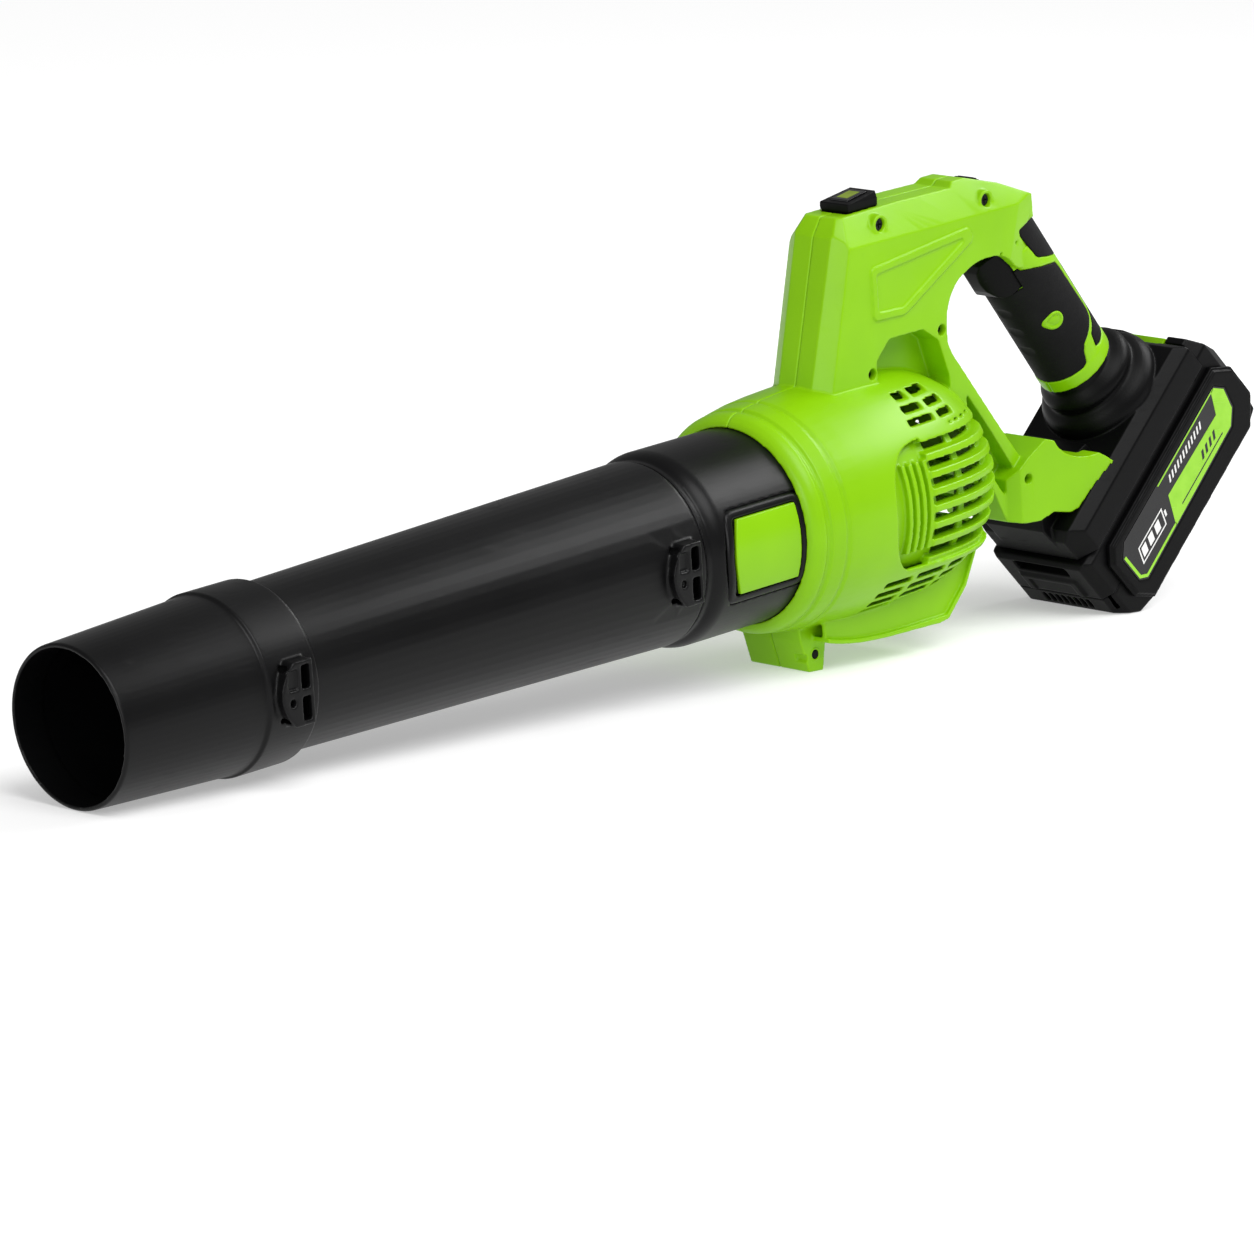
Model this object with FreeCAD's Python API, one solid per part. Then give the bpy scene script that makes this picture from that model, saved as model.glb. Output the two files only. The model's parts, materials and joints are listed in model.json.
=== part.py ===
import FreeCAD, Part
import math
import os

# Cordless axial leaf blower. Millimetres. The tool is drawn along its own barrel: X runs from the
# nozzle's mouth back to the battery, Z is up and the left side is -Y. Each node is tipped nose
# down by PITCH when it is written, so that the tool stands on its nozzle rim, front foot and
# battery, with the origin at the middle of the front foot's sole.

V = FreeCAD.Vector

# Stance
PITCH = 4.75
MOUTH_R = 39.6
FOOT_X = (470.6, 481.0)
FOOT_HALF = 20.0

# Nozzle, tube and outlet duct
WALL = 2.2
COLLAR_X = (86.0, 117.0)
COLLAR_R = 44.6
MOUTH_BORE_R = 37.4
MOUTH_BORE_LEN = 18.0
SPIGOT_R = 41.0
TUBE_END = 375.5
TUBE_END_R = 46.8
DUCT_SPIGOT_R = 44.6
DUCT_R = 49.5
DUCT_X = (376.5, 462.0)
TWIST = 20.0
BOSS_LEN = 20.0
BOSS_HALF = 15.5
BOSS_HEIGHT = 5.0
NOZZLE_BOSS_X = 88.5
TUBE_BOSS_X = 347.5
FIT = 0.35

# Badges on the duct
BADGE_X = (392.5, 438.5)
BADGE_HALF = 18.8
BADGE_BULGE = 5.0

# Barrel and housing
BARREL_X = 442.0
BARREL_R = 61.0
SHELL = 2.6
NECK_HALF = 20.5
NECK_FRONT_HALF = 11.4
NECK_TOP_HALF = 12.0
FIN_Z = (33.0, 24.0, 15.5, 6.8, -1.8, -10.4, -19.6, -29.0)
FIN_T = 3.6
RECESS_DEPTH = 4.6

# Grip: an oval column on a raked axis through GRIP_AT
GRIP_AT = (688.0, 50.5)
GRIP_DIR = (0.5878, -0.8090)
GRIP_DEEP = 20.2
GRIP_WIDE = 17.2
RUBBER = 1.5
RUBBER_GAP = 0.3
GRIP_TOP = -75.0
RING_S = (15.5, 23.0)

# Battery frame: U along the slide, towards the release button, and W up towards the dock
PACK_AT = (700.0, -94.0)
PACK_TILT = 42.0
PACK_HALF = 33.5
DOCK_HALF = 36.4
HUMP_HALF = 20.0
BUMPER = 4.3
DECK_W = 44.0
RAIL_HALF = 22.0
LIP_HALF = 26.5
PACK_END = 141.0

# Controls
DIAL_AT = (623.0, 131.3)
DIAL_R = 12.0

# Motor and fan
SHAFT_R = 2.5
MOTOR_R = 18.2
MOTOR_X = (440.0, 494.0)
HUB_R = 21.5
FAN_X = (500.0, 522.0)
FAN_TIP_R = 46.4
SHROUD_R = 47.2
BLADES = 9
VANES = 7


# ---------------------------------------------------------------- shape helpers

def wire_xz(items, y=0.0):
    """Closed wire in a plane of constant Y. A pair is a line's end, a list is a spline's points."""
    start = V(items[0][0], y, items[0][1])
    here = start
    edges = []
    for item in items[1:]:
        if isinstance(item, list):
            points = [here] + [V(a, y, b) for a, b in item]
            curve = Part.BSplineCurve()
            curve.interpolate(points)
            edges.append(curve.toShape())
            here = points[-1]
        else:
            there = V(item[0], y, item[1])
            edges.append(Part.makeLine(here, there))
            here = there
    if here.distanceToPoint(start) > 1e-6:
        edges.append(Part.makeLine(here, start))
    return Part.Wire(edges)


def prism(items, y0, y1):
    """A side outline, given as X and Z, made solid between two values of Y."""
    return Part.Face(wire_xz(items, y0)).extrude(V(0, y1 - y0, 0))


def rounded(points, radius):
    """The outline's corners turned into arcs of one radius, as spline runs for wire_xz."""
    out = []
    count = len(points)
    for i in range(count):
        before, at, after = points[i - 1], points[i], points[(i + 1) % count]
        a = V(before[0] - at[0], 0, before[1] - at[1])
        b = V(after[0] - at[0], 0, after[1] - at[1])
        reach = min(a.Length, b.Length)
        turn = a.getAngle(b)
        cut = min(radius / math.tan(turn / 2), 0.45 * reach)
        a.normalize()
        b.normalize()
        middle = V(a.x + b.x, 0, a.z + b.z)
        middle.normalize()
        bow = cut / math.cos(turn / 2) - cut * math.tan(turn / 2)
        p = (at[0] + a.x * cut, at[1] + a.z * cut)
        m = (at[0] + middle.x * bow, at[1] + middle.z * bow)
        q = (at[0] + b.x * cut, at[1] + b.z * cut)
        out.append(p)
        out.append([m, q])
    return out


def spin(items):
    """A profile, given as X and radius, turned all the way round the barrel's axis."""
    return Part.Face(wire_xz(items)).revolve(V(0, 0, 0), V(1, 0, 0), 360)


def box(x0, x1, y0, y1, z0, z1):
    return Part.makeBox(x1 - x0, y1 - y0, z1 - z0, V(x0, y0, z0))


def rod(start, direction, radius, length):
    return Part.makeCylinder(radius, length, V(*start), V(*direction))


def ring(x0, x1, inner, outer):
    """A plain sleeve on the barrel's axis."""
    return rod((x0, 0, 0), (1, 0, 0), outer, x1 - x0).cut(rod((x0, 0, 0), (1, 0, 0), inner, x1 - x0))


def mirrored(shape):
    return shape.mirror(V(0, 0, 0), V(0, 1, 0))


def both_sides(shape):
    return [shape, mirrored(shape)]


def fused(shapes):
    return shapes[0].multiFuse(shapes[1:]).removeSplitter() if len(shapes) > 1 else shapes[0]


def beyond(point, normal, size=400.0):
    """A large block that fills the side of a plane its normal points to."""
    block = Part.makeBox(size, size, size, V(-size / 2, -size / 2, 0))
    block.Placement = FreeCAD.Placement(V(*point), FreeCAD.Rotation(V(0, 0, 1), V(*normal)))
    return block


def group(shapes):
    solids = []
    for shape in shapes:
        solids.extend(shape.Solids)
    return solids[0] if len(solids) == 1 else Part.makeCompound(solids)


def turned(shape, degrees):
    copy = shape.copy()
    copy.rotate(V(0, 0, 0), V(1, 0, 0), degrees)
    return copy


# ---------------------------------------------------------------- local frames

def grip_xz(s, n):
    """The side-view point at s down the grip's axis and n behind it."""
    return (GRIP_AT[0] + GRIP_DIR[0] * s - GRIP_DIR[1] * n,
            GRIP_AT[1] + GRIP_DIR[1] * s + GRIP_DIR[0] * n)


def grip_outline(points):
    """A side outline given in the grip's own s and n."""
    return [[grip_xz(*p) for p in item] if isinstance(item, list) else grip_xz(*item) for item in points]


def grip_column(deep, wide, s0, s1):
    """An oval column along the grip, deep front to back and wide from side to side."""
    oval = Part.Ellipse(V(0, 0, 0), deep, wide).toShape()
    column = Part.Face(Part.Wire([oval])).extrude(V(0, 0, s1 - s0))
    x, z = grip_xz(s0, 0)
    turn = FreeCAD.Rotation(V(-GRIP_DIR[1], 0, GRIP_DIR[0]), V(0, -1, 0), V(GRIP_DIR[0], 0, GRIP_DIR[1]),
                            "ZXY")
    column.Placement = FreeCAD.Placement(V(x, 0, z), turn)
    return column


def in_pack(shape):
    """Takes a shape drawn with X as U and Z as W to its place in the tool."""
    shape = shape.copy()
    shape.rotate(V(0, 0, 0), V(0, 1, 0), -PACK_TILT)
    shape.translate(V(PACK_AT[0], 0, PACK_AT[1]))
    return shape


# ---------------------------------------------------------------- air path

def d_outline(x0, x1, half, bulge):
    """A D lying on its side: bulged to the front, square at the back."""
    return [(x1, -half), (x1, half), (x0 + bulge, half),
            [(x0 + 0.32 * bulge, half * 0.55), (x0, 0), (x0 + 0.32 * bulge, -half * 0.55),
             (x0 + bulge, -half)]]


def bayonet_boss(x0, surface_r, bore_r):
    """The left-hand bayonet blister, its two windows, pin hole and the pocket under it."""
    outline = d_outline(x0, x0 + BOSS_LEN, BOSS_HALF, 8.0)
    top = surface_r + BOSS_HEIGHT
    solid = prism(outline, -top, -bore_r * 0.86)
    bore = rod((x0 - 2, 0, 0), (1, 0, 0), bore_r, BOSS_LEN + 4)
    pocket = box(x0 + 4.5, x0 + BOSS_LEN - 1.4, -surface_r - 2.4, -bore_r * 0.7, -13.6, 13.6)
    cuts = [bore]
    for z in (1.9, -13.2):
        cuts.append(box(x0 + 12.6, x0 + 18.0, -top - 1, -surface_r, z, z + 11.3))
    cuts.append(box(x0 + 4.2, x0 + 10.4, -top - 1, -top + 1.6, 2.2, 12.0))
    cuts.append(rod((x0 + 6.6, -top - 1, -3.6), (0, 1, 0), 1.9, 3.4))
    return solid.cut(cuts), pocket


def half_turn_pair(shape):
    return [shape, turned(shape, 180)]


def nozzle():
    x0, x1 = COLLAR_X
    body = spin([(0.9, MOUTH_R), (x0 - 1.2, 43.3), (x0, COLLAR_R), (x1 - 1.2, COLLAR_R),
                 (x1, COLLAR_R - 1.0), (x1, SPIGOT_R + FIT), (93.5, SPIGOT_R + FIT), (93.5, 39.2),
                 (MOUTH_BORE_LEN + 0.8, 37.9), (MOUTH_BORE_LEN, MOUTH_BORE_R), (0, MOUTH_BORE_R),
                 (0, MOUTH_R - 0.9)])
    boss, pocket = bayonet_boss(NOZZLE_BOSS_X, COLLAR_R, SPIGOT_R + FIT)
    return body.cut(half_turn_pair(pocket)).multiFuse(half_turn_pair(boss)).cut(half_turn_pair(pocket))


def lug(x0, root_r, tip_r):
    """A bayonet lug, low on the left side, for a boss that starts at x0."""
    block = box(x0 + 6.5, x0 + 16.0, -tip_r, -root_r + 1.5, -3.0, 3.0)
    return turned(block, TWIST / 2)


def blower_tube():
    body = spin([(94.5, SPIGOT_R - 0.3), (COLLAR_X[1] + 0.6, SPIGOT_R), (TUBE_END - 1.5, TUBE_END_R),
                 (TUBE_END, TUBE_END_R - 0.8), (TUBE_END, DUCT_SPIGOT_R + FIT),
                 (349.6, DUCT_SPIGOT_R + FIT), (348.4, 43.8), (94.5, SPIGOT_R - WALL)])
    boss, pocket = bayonet_boss(TUBE_BOSS_X, TUBE_END_R - 0.4, DUCT_SPIGOT_R + FIT)
    body = body.multiFuse(half_turn_pair(boss)).cut(half_turn_pair(pocket))
    return body.multiFuse(half_turn_pair(lug(NOZZLE_BOSS_X, SPIGOT_R, COLLAR_R + 1.9)))


def badge_pad():
    return d_outline(BADGE_X[0] - 6.5, BARREL_X + 8, BADGE_HALF + 5.0, BADGE_BULGE + 2.0)


def badge_outline():
    return d_outline(BADGE_X[0], BADGE_X[1], BADGE_HALF, BADGE_BULGE)


def outlet_duct():
    x0, x1 = DUCT_X
    body = spin([(350.5, DUCT_SPIGOT_R - 0.8), (351.5, DUCT_SPIGOT_R), (x0 - 0.4, DUCT_SPIGOT_R),
                 (x0 - 0.4, 46.0), (x0 + 3.2, 46.0),
                 [(x0 + 5.0, 47.4), (x0 + 8.6, 49.0), (x0 + 12.5, DUCT_R)],
                 (x1, DUCT_R), (x1, SHROUD_R + 0.2), (x0 + 9.0, SHROUD_R + 0.2), (x0 + 1.0, 42.4),
                 (350.5, 42.4)])
    skin = ring(BADGE_X[0] - 12, x1 + 1, DUCT_R - 1.2, DUCT_R + 3)
    for outline in both_sides(prism(badge_pad(), -DUCT_R - 4, -20)):
        body = body.cut(skin.common(outline))
    return body.multiFuse(half_turn_pair(lug(TUBE_BOSS_X, DUCT_SPIGOT_R, TUBE_END_R + 1.5)))


def badge_left():
    plate = ring(BADGE_X[0] - 1, BADGE_X[1] + 1, DUCT_R - 1.2, DUCT_R + 0.9)
    return plate.common(prism(badge_outline(), -DUCT_R - 4, -20))


# ---------------------------------------------------------------- motor and fan

def motor_screw_holes(radius):
    hole = rod((MOTOR_X[1] - 3, 0, 11.5), (1, 0, 0), radius, 8)
    return [hole, turned(hole, 180)]


def motor_hub():
    """Shroud, guide vanes and the sleeve that holds the motor, in one moulding."""
    shroud = ring(MOTOR_X[0] + 4, FAN_X[1] + 6, SHROUD_R, DUCT_R - 0.1)
    shroud = shroud.cut(ring(MOTOR_X[0] + 3, DUCT_X[1] + 0.1, SHROUD_R + 0.1, DUCT_R + 1))
    sleeve = ring(MOTOR_X[0] - 2, MOTOR_X[1], MOTOR_R + 0.3, HUB_R)
    wall = ring(MOTOR_X[1], MOTOR_X[1] + 2.4, 7.4, HUB_R)
    pieces = [shroud, sleeve, wall]
    vane = prism([(450.0, HUB_R - 1), (490.0, HUB_R - 1), (488.0, SHROUD_R + 0.6), (453.0, SHROUD_R + 0.6)],
                 -1.1, 1.1)
    for i in range(VANES):
        pieces.append(turned(vane, 360.0 * i / VANES))
    duct_room = ring(MOTOR_X[0] - 10, DUCT_X[1] + 0.1, SHROUD_R + 0.1, DUCT_R + 1)
    return fused(pieces).cut([duct_room] + motor_screw_holes(1.6))


def tail_cone():
    return spin([(MOTOR_X[0] - 2.1, HUB_R), [(424, 19.0), (408, 12.5), (398, 5.0), (396.0, 0)], (398.4, 0),
                 [(400.4, 4.2), (410, 11.0), (425, 16.8), (MOTOR_X[0] - 2.1, 19.3)]])


def motor_can():
    x0, x1 = MOTOR_X
    can = spin([(x0 + 6, MOTOR_R), (x1, MOTOR_R), (x1, 6.6), (x1 - 1.4, 6.6), (x1 - 1.4, MOTOR_R - 1.4),
                (x0 + 6, MOTOR_R - 1.4)])
    return can.cut(motor_screw_holes(1.42))


def motor_magnets():
    arc = ring(MOTOR_X[0] + 12, MOTOR_X[1] - 8, 13.4, MOTOR_R - 1.45)
    wedge = box(MOTOR_X[0], MOTOR_X[1], -30, 30, -4.5, 4.5)
    return group([arc.cut(wedge)])


def motor_end_cap():
    x0 = MOTOR_X[0]
    return spin([(x0, 6.6), (x0, 14.0), (x0 + 1.5, MOTOR_R), (x0 + 5.9, MOTOR_R), (x0 + 5.9, MOTOR_R - 2.6),
                 (x0 + 4.6, MOTOR_R - 2.6), (x0 + 4.6, 6.6)])


def bearing(x0):
    inner = ring(x0, x0 + 4.6, SHAFT_R + 0.03, 3.6)
    outer = ring(x0, x0 + 4.6, 5.4, 6.5)
    race = ring(x0 + 1.0, x0 + 3.6, 3.6, 5.4)
    return fused([inner, race, outer])


def motor_shaft():
    return rod((MOTOR_X[0] + 0.5, 0, 0), (1, 0, 0), SHAFT_R, FAN_X[1] + 9 - MOTOR_X[0])


def motor_rotor():
    """Laminated core with three poles, and the commutator beside it."""
    core = ring(MOTOR_X[0] + 15, MOTOR_X[1] - 10, SHAFT_R, 12.9)
    slot = fused([box(MOTOR_X[0], MOTOR_X[1], -0.9, 0.9, 8.6, 14),
                  rod((MOTOR_X[0], 0, 8.6), (1, 0, 0), 2.4, 60)])
    for i in range(5):
        core = core.cut(turned(slot, 72.0 * i))
    return fused([core, ring(MOTOR_X[0] + 8.6, MOTOR_X[0] + 15, SHAFT_R, 4.6)])


def impeller():
    """Axial fan: a rounded hub and pitched blades."""
    x0, x1 = FAN_X
    rim = HUB_R - 0.4
    hub = spin([(x0 - 2, SHAFT_R), (x0 - 2, 7.0), (x1 - 3, 7.0), (x1 - 6, rim - 2), (x0, rim - 2),
                (x0, rim),
                (x1 - 5, rim), (x1 - 1, 18.5), (x1 + 2.4, 11.0), (x1 + 3.0, 6.5), (x1 + 3.0, SHAFT_R)])
    blade = box(x0 - 4, x1 + 4, -1.0, 1.0, rim - 1.0, FAN_TIP_R + 4)
    blade.rotate(V((x0 + x1) / 2, 0, 0), V(0, 0, 1), 38)
    envelope = ring(x0 + 0.6, x1 - 6.0, rim - 0.8, FAN_TIP_R)
    blades = [turned(blade.common(envelope), 360.0 * i / BLADES) for i in range(BLADES)]
    return hub.multiFuse(blades)


def impeller_nut():
    x = FAN_X[1] + 3.0
    corners = [V(x, 4.6 * math.cos(math.radians(60 * i)),
                 4.6 * math.sin(math.radians(60 * i))) for i in range(6)]
    hexagon = Part.Face(Part.makePolygon(corners + [corners[0]])).extrude(V(3.2, 0, 0))
    return hexagon.cut(rod((x - 1, 0, 0), (1, 0, 0), SHAFT_R, 6))


def motor_screws():
    screws = []
    for i in range(2):
        head = rod((MOTOR_X[1] + 2.45, 0, 0), (1, 0, 0), 2.6, 1.6)
        shank = rod((MOTOR_X[1] - 1.2, 0, 0), (1, 0, 0), 1.4, 3.7)
        screw = fused([head, shank])
        screw.translate(V(0, 0, 11.5))
        screws.append(turned(screw, 180 * i))
    return group(screws)


# ---------------------------------------------------------------- green housing

def barrel_solid():
    x = BARREL_X
    return spin([(x, 50.2), (x + 1.2, 52.6), [(x + 4.2, 55.2), (x + 8.2, 56.4)], (x + 8.8, 55.6),
                 (x + 11.6, 55.6),
                 (x + 12.2, 57.0), (x + 20.5, 58.4), (x + 21.1, 57.9), (x + 23.0, 57.9), (x + 23.6, 58.9),
                 (x + 36.0, 60.0), [(500, BARREL_R), (530, BARREL_R - 0.4), (566, 55.6), (582, 48.4),
                                    (596, 36.0),
                                    (605, 18.0), (608.0, 0)], (x, 0)])


def barrel_cavity():
    x = BARREL_X
    return spin([(x - 1, DUCT_R + 0.2), (x + 20.4, DUCT_R + 0.2), (x + 24, 56.0), (x + 36.0, 57.4),
                 [(500, BARREL_R - SHELL), (530, BARREL_R - 0.4 - SHELL), (566, 53.0), (580, 46.6),
                  (593, 34.6),
                  (601.6, 17.4), (604.6, 0)], (x - 1, 0)])


def grille_dome(inset):
    return spin([(492, 0), (492, BARREL_R - inset), [(530, BARREL_R - 0.4 - inset), (566, 55.4 - inset),
                 (580, 48.6 - inset), (594, 34.4 - 0.8 * inset), (603.5 - 0.9 * inset, 14.0),
                 (606.0 - inset, 0)]])


def recess_region():
    """Side view of the sunken intake panel, between the upper and lower shoulders."""
    return [(503, -24), [(498.5, -14), (497.5, 0), (498.5, 14), (503, 24)], [(509, 29.5), (518, 32.5)],
            (556, 36.0), (640, 36.0), (640, -31.5), (520, -31.5), [(509, -29.5), (503, -24)]]


def fins():
    slabs = [box(520, 640, -80, 80, z - FIN_T / 2, z + FIN_T / 2) for z in FIN_Z]
    shell = barrel_solid().cut(grille_dome(RECESS_DEPTH + 1.0)).common(box(526, 640, -80, 80, -40, 40))
    return [slab.common(shell) for slab in slabs]


def lower_ledge():
    """The shelf under the sunken panel, swept out to a lip at the back."""
    grown = spin([(500, 0), (500, BARREL_R - 1), [(530, BARREL_R + 1.2), (566, 58.6), (583, 51.4),
                                                  (598, 38.5),
                  (608, 20.0), (610.5, 0)]])
    return grown.common(box(500, 640, -90, 90, -33.4, -30.6)).cut(barrel_cavity())


def upright_ribs():
    """Four low upright ribs on the floor of the sunken panel, ahead of the louvres."""
    ribs = []
    for i in range(4):
        x = 508.0 + 5.2 * i
        hoop = ring(x, x + 2.4, BARREL_R - RECESS_DEPTH - 1.0, BARREL_R - 1.6)
        ribs.append(hoop.common(box(x - 1, x + 4, -80, 80, -22, 23)))
    return ribs


def intake_windows():
    """Openings between the louvres, two along each side and three across the back."""
    cuts = []
    for upper, lower in zip(FIN_Z, FIN_Z[1:]):
        z0, z1 = lower + FIN_T / 2 + 0.5, upper - FIN_T / 2 - 0.5
        cuts.append(box(531, 549, -70, 70, z0, z1))
        cuts.append(box(554, 576, -70, 70, z0, z1))
        for y in (-20, 0, 20):
            cuts.append(box(585, 612, y - 7, y + 7, z0, z1))
    return cuts


def upper_slots():
    cuts = []
    for z, front, split, back in ((51.0, 529, 538, 556), (45.6, 527, 542, 560), (40.0, 525, 545, 562)):
        cuts.append(box(front, split, -70, 70, z - 1.6, z + 1.6))
        cuts.append(box(split + 4, back, -70, 70, z - 1.6, z + 1.6))
    return cuts


def lower_slots():
    cuts = []
    for z, front in ((-37.0, 499), (-42.4, 497), (-47.4, 497), (-51.8, 497)):
        for x0, x1 in ((front, front + 20), (front + 24, front + 46), (front + 50, front + 66)):
            cuts.append(box(x0, x1, -70, 70, z - 1.4, z + 1.4))
    return cuts


def neck_solid():
    outline = [(484.5, 30), (511.0, 133.6), (517.0, 142.4), (560, 143.3), (600, 142.9), (603, 145.6),
               (612, 145.8),
               (634, 139.6), (655, 130.5), (656.5, 119), (661, 112), (657, 97), (645, 93.5),
               [(638, 96.5), (631, 102), (619, 104.6), (608, 103.6), (600, 100.6)],
               [(590.5, 94.0), (585.4, 85), (584, 76)], (584, 68), [(586, 63), (590, 57)], (596, 46),
               (596, 0),
               (520, 0)]
    solid = prism(outline, -NECK_HALF, NECK_HALF)
    for side in (-1, 1):
        solid = solid.cut(beyond((500, side * NECK_FRONT_HALF, 91), (-0.81, side * 0.55, 0.20)))
        solid = solid.cut(beyond((560, side * NECK_TOP_HALF, 143.3), (0, side * 0.875, 0.484)))
        solid = solid.cut(beyond((511, side * 9.5, 137.6), (-0.52, side * 0.62, 0.56)))
        solid = solid.cut(beyond((640, side * 19.8, 110), (0.20, side * 0.97, -0.06)))
    return solid


def side_emboss():
    """The raised triangular panel on each side of the neck, dished inside a narrow rim."""
    outline = rounded([(529.6, 88.6), (529.4, 115.2), (602.6, 123.0), (606.5, 116.6), (553, 88)], 3.0)
    dish = rounded([(533.0, 92.2), (532.8, 112.0), (597.5, 118.7), (598.5, 116.6), (552, 91.4)], 2.0)
    plate = prism(outline, -NECK_HALF - 1.1, -NECK_HALF + 1.0)
    return both_sides(plate.cut(prism(dish, -NECK_HALF - 1.5, -NECK_HALF - 0.1)))


def strut_outline():
    return [(584, 76), (584, 68), [(586, 63), (590, 57)], (618, 19), (634.0, -2.0), (646, 5.5), (655, 0),
            (662, -7),
            (668, -12), (660, -30), (650, -33), (632, -36), (622, -34), (610, -10), (570, 50), (564, 76)]


def strut_solid():
    body = prism(strut_outline(), -NECK_HALF, NECK_HALF)
    web = rounded([(580, 60), (614, 14), (628, -6), (626, -24), (619, -17), (578, 42)], 4.0)
    for pocket in both_sides(prism(web, -NECK_HALF - 1, -NECK_HALF + 10.0)):
        body = body.cut(pocket)
    return body


def saddle_outline():
    return [(622, -12), (634.0, -2.0), (646, 5.5), (652, 3.5), [(658, -3.5), (668, -8), (682, -8.5)],
            (687, -11.5),
            (692, -15), (692.6, -22), [(689, -27), (676, -32.8)], (661, -36), (650, -33.6), (640, -36.5),
            (631, -36),
            (622, -34)]


def saddle_solid():
    solid = prism(saddle_outline(), -33, 33)
    for side in (-1, 1):
        solid = solid.cut(beyond((628, side * 25.5, 0), (-0.62, side * 0.78, 0.0)))
        solid = solid.cut(beyond((628, side * 25.5, 0), (-0.12, side * 0.99, 0.0)))
    dish = [(628, -2.4), (640, -1.0), (652, -0.5), (656, -5), (662, 20), (628, 20)]
    return solid.cut(prism(dish, -18.5, 18.5))


def foot_solid():
    drop = math.tan(math.radians(PITCH))
    sole = [(x, -MOUTH_R - drop * x) for x in FOOT_X]
    outline = [(463.5, -50), (465.5, -62), sole[0], sole[1], (484, -62), (484, -50)]
    return prism(outline, -FOOT_HALF, FOOT_HALF)


def keel():
    """Two curved side rails under the barrel with a rim that turns outwards."""
    bottom = [(474, -63), [(495, -67.5), (530, -70), (556, -71)], (563, -70), (577, -56), (589, -33)]
    top = [(587, -33), (575, -55), (562, -67.8), [(530, -67.6), (495, -65.2), (474, -60.6)]]
    plate = prism([(474, -40)] + bottom + [(589, -28), (560, -28)], -29.0, -26.6)
    rim = prism([(474, -60.6)] + bottom + top, -31.4, -26.6)
    floor = prism([(474, -60.6)] + bottom[:2] + [(556, -68.8), [(530, -67.6), (495, -65.2), (474, -60.6)]],
                  -28, 28)
    return both_sides(plate) + both_sides(rim) + [floor]


SCREW_POINTS = ((541, 135.5, 3.4), (620, 133.5, 3.4), (527.5, 62, 2.9), (580, 74.5, 2.9), (633.5, -13, 2.6))


def screw_bosses():
    return [rod((x, -18.5, z), (0, 1, 0), r + 1.8, 37) for x, z, r in SCREW_POINTS]


def screw_wells():
    cuts = []
    for x, z, r in SCREW_POINTS:
        cuts.append(rod((x, -40, z), (0, 1, 0), r, 25.5))
        cuts.append(rod((x, 14.5, z), (0, 1, 0), r, 25.5))
    return cuts


def trigger_outline():
    return grip_outline([(-75.4, -10), (-76.0, -20.5), (-75.0, -24.2), (-71.5, -26.2),
                         [(-65, -26.8), (-58, -26.4)],
                         (-52.5, -24.4), (-50.0, -22.2), (-49.2, -19.0), (-49.2, -10)])


def trigger_room():
    """The slot that the trigger slides in, open at the front."""
    return prism(grip_outline([(-77.4, -40), (-77.0, -3.0), (-48.6, -3.0), (-48.6, -40)]), -14.6, 14.6)


def dial_room():
    return rod((DIAL_AT[0], -5.6, DIAL_AT[1]), (0, 1, 0), DIAL_R + 0.6, 11.2)


def potentiometer_room():
    x, z = DIAL_AT
    return fused([rod((x, -7.2, z), (0, 1, 0), 2.1, 14.4),
                  box(x - 6.3, x + 6.3, 5.6, 10.8, z - 9.3, z + 2.3)])


def module_seat():
    return prism([(526.5, 138), (526.5, 150), (549.5, 150), (549.5, 138)], -9.0, 9.0)


def housing():
    """Both halves of the clamshell as one hollow body, before the split."""
    dome_floor = grille_dome(RECESS_DEPTH)
    region = prism(recess_region(), -90, 90)
    barrel = barrel_solid().cut(region).fuse(dome_floor.common(region))
    barrel = barrel.multiFuse(fins() + upright_ribs() + [lower_ledge()])
    barrel = barrel.cut(intake_windows() + upper_slots() + lower_slots())
    neck = neck_solid()
    column = grip_column(GRIP_DEEP, GRIP_WIDE, GRIP_TOP, RING_S[0])
    band = grip_column(GRIP_DEEP + RUBBER + 0.3, GRIP_WIDE + RUBBER + 0.3, *RING_S)
    attached = [neck, column, band, strut_solid(), saddle_solid(), foot_solid()]
    solid = barrel.multiFuse(attached + grip_skin() + keel() + side_emboss())
    # Hollow the barrel, neck, top bar and grip.
    neck_room = prism([(500, 50), (517, 131), (522, 136.6), (598, 136.8), (632, 133), (648, 124),
                       grip_xz(-66, 14), grip_xz(-66, -3), (632, 106), (619, 108.5), (606, 107.5),
                       (598, 104.5), (587, 97),
                       (580, 84), (580, 81), (526, 81), (522, 50)], -17.4, 17.4)
    for side in (-1, 1):
        neck_room = neck_room.cut(beyond((560, side * (NECK_TOP_HALF - 1), 139.6),
                                         (0, side * 0.875, 0.484)))
        neck_room = neck_room.cut(beyond((503, side * 9.5, 91), (-0.81, side * 0.55, 0.20)))
    grip_room = grip_column(GRIP_DEEP - 3.4, GRIP_WIDE - 3.2, -68, RING_S[1] + 1)
    window = prism(rounded([(531, 40), (531, 68), (541, 77.5), (566, 77.5), (577, 70), (584, 50),
                            (584, 30)], 3.0),
                   -40, -6.0)
    window = window.cut(grille_dome(RECESS_DEPTH - 3.0).fuse(barrel_solid()))
    solid = solid.cut([barrel_cavity().common(dome_floor_cavity()), neck_room,
                       grip_room] + both_sides(window))
    solid = solid.multiFuse(screw_bosses())
    cuts = screw_wells() + [trigger_room(), dial_room(), potentiometer_room(), module_seat(), foot_hole(),
                            dock_hump(0.3), dock_platform()]
    bellows = dock_bellows().common(in_pack(box(40, 140, -60, 60, 60, 88)))
    solid = solid.cut(cuts + pin_holes() + [bellows, patch_pocket()])
    return solid.multiFuse([patch_backing()]).cut(trigger_room())


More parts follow.
